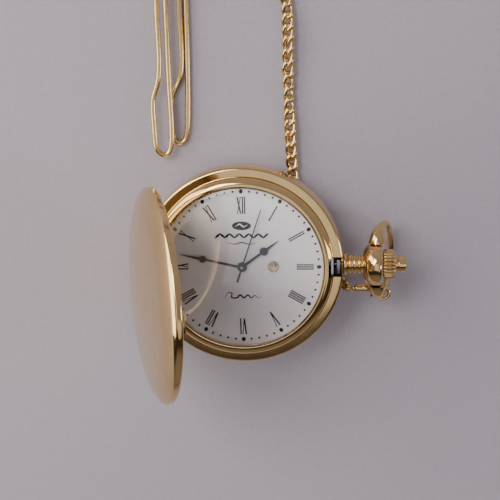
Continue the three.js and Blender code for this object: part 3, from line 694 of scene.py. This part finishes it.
def crystal():
    radii = [GLASS_R * k / 16 for k in range(17)]
    under = [(r, GLASS_LOW + GLASS_RISE * (1 - (r / GLASS_R) ** 2)) for r in radii]
    over = [(GLASS_R, 4.28), (18.25, 4.68)]
    over += [(r, GLASS_HIGH + GLASS_RISE * (1 - (r / GLASS_R) ** 2)) for r in reversed(radii) if r < 18]
    piece("crystal_dome", lathe(under + over), glass, "root", "crystal")


def gasket():
    outline = [(19.27, 3.87, 0.05), (19.43, 3.87, 0.05), (19.43, 4.5, 0.05), (19.27, 4.5, 0.05)]
    ring = lathe(rounded(outline, 2))
    piece("crystal_seal", ring, clear_plastic, "root", "crystal_gasket")


def rehaut():
    ring = lathe(rounded([(19.1, 2.55, 0.05), (20.2, 2.55), (20.2, 3.75), (19.25, 3.75, 0.08)], 3))
    piece("inner_ring", ring, gold_inside, "root", "rehaut")


def back_cover():
    """A back that is flat in the middle and curves up to its rim, with a notch for opening it."""
    dome = [(0, BACK_LOW)]
    for k in range(1, 30):
        r = 22.75 * k / 29
        dome.append((r, BACK_LOW + 1.9 * max(0.0, (r - BACK_FLAT_R) / 10.9) ** 2))
    rim = [(22.86, -3.5), (22.8, -3.42), (22.7, -3.4), (20.7, -3.4), (20.7, -2.75), (20.1, -2.75),
           (20.1, -3.7), (BACK_FLAT_R, -4.6), (0, -4.6)]
    notch = block(-1.6, 1.6, -23.5, -22.3, -3.72, -3.3, 0.08)
    cover = carved(lathe(dome + rim), [notch])
    piece("back_dome", cover, gold, "root", "back_cover")


def lid():
    radii = [SHOULDER_R + (CASE_R - SHOULDER_R) * math.cos(math.radians(2.5 * k)) for k in range(36)]
    radii += [SHOULDER_R * (1 - k / 14) for k in range(15)]
    outer = [(r, dome_height(r)) for r in radii]
    skirt = rounded([(22.3, 3.05, 0.12), (23.7, 3.0, 0.2), (CASE_R, 3.35, 0.25), (CASE_R, 4.1)], 5)
    inside = [(0, 6.75), (7, 6.62), (14, 6.2), (17, 5.85), (19.5, 5.5), (20.6, 5.28), (21.4, 4.98),
              (21.9, 4.65), (22.2, 4.25)]
    # the outline runs from the middle of the inside to the rim, round the skirt and over the dome
    shape = lathe(inside + skirt + outer)
    barrel_seat = moved(cylinder(BARREL_R + 0.2, -6.9, 6.9, "Y"), AT_HINGE)
    leaf_seat = block(-26, -23.3, -2.15, 2.15, 2.5, 4.55)
    piece("lid_shell", carved(shape, [barrel_seat, leaf_seat]), gold, "lid", "lid", LID)


def lid_catch():
    hook = block(21.3, 21.9, -1.9, 1.9, 2.15, 4.4, 0.08)
    tab = block(21.5, 22.05, -1.9, 1.9, 3.2, 4.0, 0.1)
    piece("lid_hook", carved(hook, [tab], "UNION"), gold_inside, "lid", "lid_catch", LID)


def knuckle(name, start, end, leaf_low, leaf_high, body, place):
    """A barrel round the hinge's pin with a leaf that runs into the case or the lid."""
    corners = [(BARREL_BORE_R, start), (BARREL_R, start, 0.12), (BARREL_R, end, 0.12), (BARREL_BORE_R, end)]
    barrel = moved(lathe(rounded(corners, 3), SMALL, "Y"), AT_HINGE)
    leaf = block(HINGE[0] - 0.75, HINGE[0] + 0.9, start + 0.02, end - 0.02, leaf_low, leaf_high, 0.1)
    bore = moved(cylinder(BARREL_BORE_R, start - 1, end + 1, "Y"), AT_HINGE)
    solid = carved(barrel, [carved(leaf, [bore])], "UNION")
    piece(name + "_barrel", solid, gold, body, name, place)


def hinge():
    knuckle("case_knuckle_lower", -KNUCKLE_END, -2.15, 1.3, HINGE[1], "root", WATCH)
    knuckle("case_knuckle_upper", 2.15, KNUCKLE_END, 1.3, HINGE[1], "root", WATCH)
    knuckle("lid_knuckle", -2.0, 2.0, HINGE[1], 4.4, "lid", LID)
    corners = [(0, -KNUCKLE_END), (0.35, -KNUCKLE_END, 0.12), (0.35, KNUCKLE_END, 0.12), (0, KNUCKLE_END)]
    pin = moved(lathe(rounded(corners, 3), SMALL, "Y"), AT_HINGE)
    piece("hinge_rod", pin, steel, "root", "hinge_pin")


def latch():
    body = block(22.3, 23.15, -1.75, 1.75, 1.0, 2.75, 0.15)
    piece("latch_slide", body, dark_steel, "latch", "latch")


for make in (case_band, bezel, crystal, gasket, rehaut, back_cover, lid, lid_catch, hinge, latch):
    make()


# ---- pendant, bow and crown ----
NECK_X = 24.1                  # the neck starts on the case
HEAD_X = 28.5                  # and ends at the head
HEAD_END_X = 33.0
HEAD_FRONT_X = 31.9            # widest part of the head
SLEEVE_HOLE_R = 1.2
PIN_HOLE_R = 0.7
CROWN_X = 33.2
CROWN_END_X = 36.2
FLUTES = 22
STEPS_PER_FLUTE = 12
FLUTE_DEPTH = 0.42
BOW_END = 13.3                 # the bow's reach from its pivots
BOW_WIRE_R = 0.7
BOW_ROOT_EXTRA = 1.45          # the limbs thicken towards the pivots


def pendant():
    """A short neck with a collar on the case and three raised rings."""
    outline = [(SLEEVE_HOLE_R, NECK_X), (2.7, NECK_X, 0.1), (2.7, 24.6, 0.15), (2.05, 24.85, 0.1)]
    for ridge in (25.45, 26.55, 27.65):
        for k in range(9):
            a = math.pi * k / 8
            outline.append((1.98 + 0.38 * math.sin(a), ridge - 0.42 * math.cos(a)))
    outline += [(2.0, HEAD_X), (SLEEVE_HOLE_R, HEAD_X)]
    piece("pendant_neck", lathe(rounded(outline, 3), MEDIUM, "X"), gold, "root", "pendant_tube")


def pin_holes(start, end):
    """The two holes for the bow's pins, on both sides of the stem, about the pivot's middle."""
    return [cylinder(PIN_HOLE_R, start, end, "Y"), cylinder(PIN_HOLE_R, -end, -start, "Y")]


def bulb():
    """The rounded head that carries the bow, flat where the bow's eyes turn against it."""
    outline = [(SLEEVE_HOLE_R, HEAD_X), (2.3, HEAD_X)]
    for k in range(17):
        a = math.radians(4 + 86 * k / 16)
        outline.append((2.3 + 3.05 * math.sin(a), HEAD_FRONT_X - 3.4 * math.cos(a)))
    outline += [(5.3, 32.3), (5.15, 32.7), (4.9, 32.92), (4.6, HEAD_END_X), (SLEEVE_HOLE_R, HEAD_END_X)]
    head = lathe(rounded(outline, 3), MEDIUM, "X")
    flats = [block(28, 34, side * 5.6 - 0.45, side * 5.6 + 0.45, -6, 6) for side in (-1, 1)]
    holes = [moved(hole, AT_PIVOT) for hole in pin_holes(3, 6)]
    piece("pendant_bulb", carved(head, flats + holes), gold, "root", "pendant_head")


def bow():
    """A stirrup from eye to eye, drawn along +X from its pivots, its limbs thickest at the eyes."""
    side = [(0, 5.22), (0.05, 5.9), (0.35, 6.7), (1.1, 7.45), (2.4, 8.0), (4.2, 8.4), (6.0, 8.45),
            (7.8, 8.1), (9.6, 7.0), (11.3, 5.2), (12.6, 2.9)]
    route = [(x, -y, 0) for x, y in side] + [(BOW_END, 0, 0)] + [(x, y, 0) for x, y in reversed(side)]

    def radius(share):
        from_eye = min(share, 1 - share) * 2
        return BOW_WIRE_R + BOW_ROOT_EXTRA * max(0.0, 1 - from_eye / 0.62) ** 2.4

    loop = sweep(smooth_line(route, 3.5), radius, 28, round_ends=False)
    piece("bow_loop", carved(loop, pin_holes(5, 6.2)), gold, "bow", "bow", BOW, 40)


def bow_pins():
    outline = rounded([(0, 3.1), (0.6, 3.1, 0.1), (0.6, 6.1, 0.1), (0, 6.1)], 3)
    for name, hand in (("bow_pin_lower", -1), ("bow_pin_upper", 1)):
        pin = lathe([(r, hand * h) for r, h in outline], SMALL, "Y")
        piece(name + "_rod", moved(pin, AT_PIVOT), steel, "root", name)


def crown():
    """A fluted crown whose flutes run out into rounded ends, with a well for the button."""
    # x, radius and the share of the flutes' depth
    stations = [(CROWN_X, 3.0, 0), (33.22, 3.12, 0), (33.3, 3.28, 0.1), (33.42, 3.42, 0.45),
                (33.6, 3.52, 0.85), (33.85, 3.55, 1), (34.3, 3.55, 1), (34.8, 3.53, 1), (35.3, 3.48, 1),
                (35.6, 3.4, 1), (35.82, 3.3, 0.85), (36.0, 3.16, 0.45), (36.12, 3.02, 0.1),
                (36.18, 2.9, 0), (CROWN_END_X, 2.8, 0)]
    well = [(2.3, CROWN_END_X), (2.15, 36.12), (2.15, 35.2), (1.0, 35.2), (1.0, 33.6)]
    segments = FLUTES * STEPS_PER_FLUTE
    verts = []
    grid = []

    def row(x, r, share):
        start = len(verts)
        for k in range(segments):
            a = 2 * math.pi * k / segments
            ridge = abs(math.sin(FLUTES * a / 2)) ** 0.75
            fluted = r - share * FLUTE_DEPTH * (1 - ridge)
            verts.append((x, fluted * math.cos(a), fluted * math.sin(a)))
        grid.append(list(range(start, start + segments)))

    verts.append((CROWN_X, 0, 0))
    grid.append([0])
    for x, r, share in stations:
        row(x, r, share)
    for r, x in well:
        row(x, r, 0)
    verts.append((well[-1][1], 0, 0))
    grid.append([len(verts) - 1])
    faces = faces_between(zip(grid, grid[1:]), segments)
    piece("crown_wheel", (verts, faces), gold, "crown", "crown", WATCH, 50)


def crown_button():
    """A push button with a waist, on a shank in the crown's well."""
    outline = [(0, 34.5), (0.85, 34.5, 0.1), (0.85, 36.1), (1.95, 36.1, 0.08), (1.95, 36.45, 0.05),
               (1.74, 36.55, 0.05), (1.74, 36.8, 0.05), (2.0, 36.92, 0.1), (2.0, 38.2, 0.4),
               (1.5, 38.7, 0.4), (0.8, 38.8), (0, 38.8)]
    piece("crown_pusher", lathe(rounded(outline, 5), MEDIUM, "X"), gold, "button", "crown_button")


def crown_sleeve():
    outline = rounded([(0.6, 25, 0.05), (1.05, 25, 0.1), (1.05, 32.8, 0.1), (0.6, 32.8, 0.05)], 2)
    piece("sleeve_tube", lathe(outline, SMALL, "X"), brass, "sleeve", "crown_sleeve")


def stem():
    outline = rounded([(0, 11.5), (0.45, 11.5, 0.1), (0.45, 33.1, 0.1), (0, 33.1)], 2)
    piece("stem_rod", lathe(outline, SMALL, "X"), dark_steel, "crown", "stem")


def clasp_hook():
    """A round barrel with the hook that goes round the bow."""
    hook = [(29.6, 0.1, 0), (30.6, 0.22, 0), (32.2, 0.45, 0), (33.7, 0.4, 0), (34.8, -0.6, 0),
            (34.7, -1.9, 0), (33.9, -2.6, 0), (32.9, -2.75, 0)]
    wire = sweep(smooth_line(hook, 5), lambda share: 0.5 - 0.08 * share, 18)
    outline = [(0, 26.1), (0.6, 26.1, 0.15), (0.6, 26.5), (0.78, 26.6, 0.1), (1.0, 26.9, 0.15),
               (1.0, 29.6, 0.2), (0.7, 30.3, 0.15), (0, 30.3)]
    barrel = lathe(rounded(outline, 4), SMALL, "X")
    piece("clasp_hook", carved(barrel, [wire], "UNION"), gold, "bow", "clasp_body", CLASP, 40)


def clasp_gate():
    lever = block(30.35, 30.85, -2.1, -0.4, -0.4, 0.4, 0.14)
    piece("clasp_gate", lever, gold, "clasp_lever", "clasp_lever", CLASP)


def clasp_ring():
    turns = [math.pi * k / 8 for k in range(16)]
    section = [(0.775 + 0.225 * math.cos(a), 0.3 * math.sin(a)) for a in turns]
    ring = moved(lathe(section, SMALL, "Y"), Matrix.Translation((RING_X, 0, 0)))
    piece("clasp_ring", ring, gold, "clasp_swivel", "clasp_swivel", CLASP)


for make in (pendant, bulb, bow, bow_pins, crown, crown_button, crown_sleeve, stem,
             clasp_hook, clasp_gate, clasp_ring):
    make()


# ---- dial ----
INK_LOW = DIAL_TOP + 0.002     # the ink's plates just clear the dial
INK_HIGH = DIAL_TOP + 0.02
DOT_CIRCLE_R = 18.0
HOUR_DOT_R = 0.47
MINUTE_DOT_R = 0.25
AT_WINDOW = Matrix.Translation((WINDOW_X, 0, 0))


def dial():
    corners = [(0, DIAL_LOW), (DIAL_R, DIAL_LOW), (DIAL_R, DIAL_TOP, 0.05), (0, DIAL_TOP)]
    disc = lathe(rounded(corners, 2))
    holes = [cylinder(1.05, 1, 4), moved(cylinder(1.4, 1, 4), AT_WINDOW)]
    piece("dial_plate", carved(disc, holes), lacquer, "root", "dial")


def date_window():
    outline = rounded([(0.95, 2.15), (1.3, 2.15), (1.3, 2.62, 0.1), (0.95, 2.62, 0.15)], 4)
    ring = moved(lathe(outline, SMALL), AT_WINDOW)
    piece("date_frame", ring, gold, "root", "date_window_rim")


def prism(outline):
    """A flat closed plate of ink from an outline in the dial's plane."""
    count = len(outline)
    verts = [(x, y, z) for z in (INK_LOW, INK_HIGH) for x, y in outline]
    faces = [list(range(count))[::-1], list(range(count, 2 * count))]
    for k in range(count):
        n = (k + 1) % count
        faces.append([k, n, count + n, count + k])
    return verts, faces


def ribbon(points, width):
    """A flat stroke along a smooth line; width is a function of the share of its length."""
    line = smooth_line([(x, y, 0) for x, y in points], 8.0)
    left = []
    right = []
    for i, p in enumerate(line):
        ahead = line[min(i + 1, len(line) - 1)] - line[max(i - 1, 0)]
        ahead.normalize()
        side = Vector((-ahead.y, ahead.x, 0)) * width(i / (len(line) - 1)) / 2
        left.append((p + side)[:2])
        right.append((p - side)[:2])
    return prism(left + right[::-1])


def bar(x0, y0, x1, y1, wide):
    """A straight stroke whose ends are cut level."""
    return prism([(x0 - wide / 2, y0), (x0 + wide / 2, y0), (x1 + wide / 2, y1), (x1 - wide / 2, y1)])


NUMERALS = ["XII", "I", "II", "III", "IIII", "V", "VI", "VII", "VIII", "IX", "X", "XI"]
NUMERAL_IN = 12.9
NUMERAL_OUT = 16.85
GLYPH_WIDE = {"I": 0.5, "V": 1.25, "X": 1.2}
THICK = 0.36
HAIR = 0.2
SERIF = 0.12


def glyph(letter, x):
    """The strokes and the serifs of one Roman letter whose middle is at x."""
    low = NUMERAL_IN
    high = NUMERAL_OUT
    if letter == "I":
        serifs = [(x, low), (x, high - SERIF)]
        strokes = [bar(x, low, x, high, THICK - 0.05)]
    elif letter == "V":
        serifs = [(x - 0.42, high - SERIF), (x + 0.42, high - SERIF)]
        strokes = [bar(x - 0.42, high, x + 0.02, low, THICK), bar(x + 0.42, high, x + 0.04, low, HAIR)]
    else:
        serifs = [(x - 0.38, low), (x + 0.38, low), (x - 0.38, high - SERIF), (x + 0.38, high - SERIF)]
        strokes = [bar(x - 0.38, high, x + 0.38, low, THICK), bar(x + 0.38, high, x - 0.38, low, HAIR)]
    return strokes, [bar(sx, sy, sx, sy + SERIF, 0.46) for sx, sy in serifs]


def raised(shape, lift):
    return moved(shape, Matrix.Translation((0, 0, lift)))


def numerals():
    """Radial Roman numerals with their feet to the centre, a dot outside each and one at each minute.

    Strokes and serifs that overlap are lifted by tiny steps, so that no two share a plane.
    """
    parts = []
    for hour, word in enumerate(NUMERALS):
        width = sum(GLYPH_WIDE[c] for c in word)
        x = -width / 2
        turn = Matrix.Rotation(-math.radians(30 * hour), 4, "Z")
        for letter in word:
            strokes, serifs = glyph(letter, x + GLYPH_WIDE[letter] / 2)
            for k, stroke in enumerate(strokes):
                parts.append(moved(raised(stroke, 0.002 * k), turn))
            for k, serif in enumerate(serifs):
                parts.append(moved(raised(serif, 0.004 + 0.001 * k), turn))
            x += GLYPH_WIDE[letter]
    for minute in range(60):
        radius, sides = (HOUR_DOT_R, 28) if minute % 5 == 0 else (MINUTE_DOT_R, 16)
        angle = math.radians(90 - 6 * minute)
        middle = (DOT_CIRCLE_R * math.cos(angle), DOT_CIRCLE_R * math.sin(angle))
        parts.append(prism(arc_points(radius, sides, middle)))
    piece("dial_numerals", together(*parts), ink, "root", ())


def swell(wide):
    """The width of a stroke that is fullest in its middle."""
    return lambda share: 0.05 + wide * math.sin(math.pi * share)


def ornaments():
    """An oval mark, a row of leaves and a wavy line under XII, and a long scroll over VI."""
    oval = [(2.25 * x, 9.95 + 1.05 * y) for x, y in arc_points(1, 48)]
    leaf = [(0.92 * x, 0.27 * y * abs(y) ** 0.4) for x, y in arc_points(1, 24)]
    parts = [prism(oval)]
    for k in range(-5, 6):
        tilt = math.radians(42 if k % 2 else -42)
        place = Matrix.Translation((1.13 * k, 7.55, 0)) @ Matrix.Rotation(tilt, 4, "Z")
        parts.append(raised(moved(prism(leaf), place), 0.001 * (k + 5)))
    wave = [(-3.4, 5.9), (-1.7, 5.5), (0, 5.9), (1.7, 5.5), (3.4, 5.9)]
    scroll = [(-4.4, -7.9), (-3.6, -6.6), (-2.6, -6.5), (-2.7, -7.6), (-1.4, -7.7), (-0.6, -7.0),
              (0.2, -7.7), (1.2, -7.0), (2.0, -7.7), (2.9, -7.1), (3.6, -7.7), (4.6, -7.3)]
    parts += [ribbon(wave, swell(0.24)), ribbon(scroll, swell(0.34))]
    piece("dial_ornaments", together(*parts), ink, "root", ())
    sprig = ribbon([(-1.5, 9.75), (-0.4, 10.35), (0.5, 9.75), (1.5, 10.25)], swell(0.3))
    piece("dial_leaf", raised(sprig, 0.02), lacquer, "root", ())


def number_mesh(text, size):
    """Flat plates of a number from the built-in font."""
    curve = bpy.data.curves.new("number", "FONT")
    curve.body = text
    curve.size = size
    curve.align_x = "CENTER"
    curve.align_y = "CENTER"
    curve.extrude = 0.01
    curve.offset = 0.012
    obj = add_object("number", curve)
    bpy.context.view_layer.update()
    mesh = bpy.data.meshes.new_from_object(obj.evaluated_get(bpy.context.evaluated_depsgraph_get()))
    shape = ([v.co.copy() for v in mesh.vertices], [list(p.vertices) for p in mesh.polygons])
    bpy.data.objects.remove(obj)
    return shape


DATE_SHOWN = 19
DAYS = 31
DATE_LOW = 1.72
DATE_TOP = 1.9
NUMBER_SIZE = 1.45


def date_disc():
    corners = [(6.3, DATE_LOW), (8.7, DATE_LOW), (8.7, DATE_TOP, 0.04), (6.3, DATE_TOP, 0.04)]
    ring = lathe(rounded(corners, 2))
    piece("date_disc", ring, date_white, "date_ring", "date_ring")
    parts = []
    for day in range(1, DAYS + 1):
        angle = 2 * math.pi * (DATE_SHOWN - day) / DAYS
        place = Matrix.Rotation(angle, 4, "Z") @ Matrix.Translation((WINDOW_X + 0.02, 0, DATE_TOP + 0.012))
        parts.append(moved(number_mesh(str(day), NUMBER_SIZE), place))
    piece("date_numbers", together(*parts), ink, "date_ring", ())


def hand_shape(half_width, start, end, low, high, steps=150, edge=0.05):
    """A flat hand along +X with a bevelled upper edge; half_width is a function of x."""
    rows = []
    verts = []
    for k in range(steps + 1):
        x = start + (end - start) * k / steps
        w = max(0.02, half_width(x))
        top = max(0.008, w - edge)
        rows.append(len(verts))
        section = [(-w, low), (w, low), (w, high - edge), (top, high), (-top, high), (-w, high - edge)]
        verts += [(x, y, z) for y, z in section]
    faces = []
    for a, b in zip(rows, rows[1:]):
        for k in range(6):
            n = (k + 1) % 6
            faces.append((a + k, a + n, b + n, b + k))
    faces.append(tuple(rows[0] + k for k in range(6)))
    faces.append(tuple(rows[-1] + k for k in range(6)))
    return verts, faces


def round_at(x, middle, radius):
    """Half width at x of a disc about the middle."""
    return math.sqrt(max(0.0, radius * radius - (x - middle) ** 2))


def moon_width(hub, shaft, disc_x, disc_r, tip):
    """Half width of a hand with a hub, a slim shaft, a filled disc and a tapered point."""
    def width(x):
        neck = shaft * (1 - 0.25 * max(0.0, x) / disc_x) if 0 <= x <= disc_x else 0
        point = 0
        if x > disc_x:
            share = (x - disc_x) / (tip - disc_x)
            point = 0.36 * (1 - share) ** 0.8 + 0.03
        return max(round_at(x, 0, hub), round_at(x, disc_x, disc_r), neck, point)
    return width


def clockwise(degrees):
    """The place of a hand that is turned so far from XII."""
    return WATCH @ Matrix.Rotation(math.radians(90 - degrees), 4, "Z")


def moon_hands():
    """The hour and the minute hand: turn, underside, hub, shaft, disc's place and radius, tip."""
    for name, turn, low, hub, shaft, disc_x, disc_r, tip in (
        ("hour_hand", HOUR_TURN, 2.85, 1.2, 0.36, 6.45, 1.0, 10.9),
        ("minute_hand", MINUTE_TURN, 3.2, 1.07, 0.31, 9.5, 0.85, 14.9),
    ):
        width = moon_width(hub, shaft, disc_x, disc_r, tip)
        blade = hand_shape(width, -hub, tip, low, low + 0.15)
        piece(name + "_blade", blade, blued, name, name, clockwise(turn))


def second_width(x):
    """Half width of a needle with a small hub and a tail that is wider past its neck."""
    tail = 0.27 if x < -1.6 else 0.2
    return max(round_at(x, 0, 0.66), 0.18 - 0.07 * x / 15 if x > 0 else tail)


def second_hand():
    needle = hand_shape(second_width, -3.75, 14.9, 3.6, 3.72, 200, 0.03)
    place = clockwise(SECOND_TURN)
    piece("second_hand_needle", needle, blued, "second_hand", "second_hand", place)
    cap = lathe(rounded([(0, 3.7), (0.3, 3.7), (0.3, 3.82, 0.05), (0.12, 3.86, 0.05), (0, 3.86)], 3), SMALL)
    piece("second_hand_cap", cap, steel, "second_hand", ())


for make in (dial, date_window, numerals, ornaments, date_disc, moon_hands, second_hand):
    make()


# ---- the movement's own CAD parts, each with its finish ----
def wound(name):
    """Enamelled copper wire wound on a coil."""
    material, tree, shader = new_material(name)
    wave = tree.nodes.new("ShaderNodeTexWave")
    set_inputs(wave, {"Scale": 1400.0, "Distortion": 0.4})
    tree.links.new(coordinates(tree), wave.inputs["Vector"])
    tone = ramp(tree, wave.outputs["Fac"], [(0.1, (0.20, 0.06, 0.02)), (0.8, (0.62, 0.25, 0.10))])
    gloss = spread(tree, wave.outputs["Fac"], 0.45, 0.25, 0.0, 1.0)
    link_looks(tree, shader, tone, gloss, bump(tree, wave.outputs["Fac"], 0.8, 0.00005))
    shader.inputs["Metallic"].default_value = 0.9
    return material


def circuit(name):
    """Green board with paler tracks under the lacquer."""
    material, tree, shader = new_material(name)
    brick = tree.nodes.new("ShaderNodeTexBrick")
    set_inputs(brick, {
        "Scale": 420.0, "Mortar Size": 0.04, "Mortar": (0.10, 0.26, 0.10, 1),
        "Color1": (0.018, 0.10, 0.045, 1), "Color2": (0.022, 0.12, 0.05, 1),
    })
    tree.links.new(coordinates(tree), brick.inputs["Vector"])
    gloss = spread(tree, brick.outputs["Fac"], 0.35, 0.5, 0, 1)
    link_looks(tree, shader, brick.outputs["Color"], gloss, bump(tree, brick.outputs["Fac"], 0.3, 0.00003))
    return material


copper = wound("copper_winding")
board = circuit("circuit_board_green")
finishes = {
    "gold": gold_inside, "glass": glass, "clear_plastic": clear_plastic, "rubber": rubber, "steel": steel,
    "brass": brass, "white_plastic": white, "board": board, "copper": copper, "dial_enamel": lacquer,
    "blued_steel": blued,
}


def dress_cad():
    """Every CAD node gets the finish of its slot, shown or not."""
    for entry in frame["record"]["subparts"]:
        obj = frame["nodes"][entry["node"]]
        finish = finishes[entry["material_slot"]]
        for slot in obj.material_slots:
            slot.material = finish
        if len(obj.material_slots) == 0:
            obj.data.materials.append(finish)


dress_cad()


# ---- floor and light ----
FLOOR_HALF = 3.0               # metres


def floor():
    material, tree, shader = new_material("floor_cloth")
    fine = noise(tree, coordinates(tree), 900.0, 6.0, 0.7)
    tone = ramp(tree, fine, [(0.3, (0.47, 0.43, 0.485)), (0.7, (0.53, 0.485, 0.545))])
    tree.links.new(tone, shader.inputs["Base Color"])
    tree.links.new(bump(tree, fine, 0.25, 0.0002), shader.inputs["Normal"])
    shader.inputs["Roughness"].default_value = 0.8
    mesh = bpy.data.meshes.new("floor")
    corners = [(FLOOR_HALF * x, FLOOR_HALF * y, 0) for x, y in ((-1, -1), (1, -1), (1, 1), (-1, 1))]
    mesh.from_pydata(corners, [], [(0, 1, 2, 3)])
    mesh.materials.append(material)
    obj = add_object("floor", mesh)


def area_light(name, place, aim, width, height, power, colour):
    data = bpy.data.lights.new(name, "AREA")
    data.shape = "RECTANGLE"
    data.size = width
    data.size_y = height
    data.energy = power
    data.color = colour
    obj = add_object(name, data)
    obj.location = place
    obj.rotation_euler = (Vector(aim) - Vector(place)).to_track_quat("-Z", "Y").to_euler()


def sky():
    """A soft studio: grey low in front, a dark band above that, then ever brighter towards the back."""
    world = bpy.data.worlds.new("studio")
    world.use_nodes = True
    tree = world.node_tree
    place = tree.nodes.new("ShaderNodeTexCoord")
    parts = tree.nodes.new("ShaderNodeSeparateXYZ")
    tree.links.new(place.outputs["Generated"], parts.inputs["Vector"])
    front_to_back = spread(tree, parts.outputs["Y"], 0, 1, -1, 1)
    shade = ramp(tree, front_to_back, [
        (0.0, (0.34, 0.31, 0.31)), (0.13, (0.28, 0.25, 0.24)), (0.2, (0.05, 0.04, 0.035)),
        (0.3, (0.08, 0.065, 0.055)), (0.38, (0.38, 0.35, 0.37)), (0.55, (0.44, 0.42, 0.46)),
        (1.0, (0.56, 0.54, 0.59)),
    ])
    background = tree.nodes["Background"]
    tree.links.new(shade, background.inputs["Color"])
    background.inputs["Strength"].default_value = 0.66
    bpy.context.scene.world = world


def lights():
    """Places and sizes in metres, powers in watts."""
    middle = (0, 0, 0.015)
    area_light("key", (-0.60, 0.12, 0.22), middle, 0.84, 0.42, 4.2, (1.0, 0.96, 0.90))
    area_light("window", (-0.27, 0.22, 0.42), middle, 0.26, 0.18, 1.2, (1.0, 0.97, 0.95))
    area_light("overhead", (-0.14, -0.03, 0.75), (-0.14, -0.03, 0), 0.50, 0.47, 0.42, (1.0, 0.98, 1.0))
    area_light("fill", (0.42, -0.05, 0.30), middle, 0.10, 0.34, 0.35, (0.98, 0.98, 1.0))
    area_light("card", (0.26, -0.25, 0.70), middle, 0.2, 0.2, 0.075, (1.0, 0.97, 0.93))
    sky()


floor()
lights()
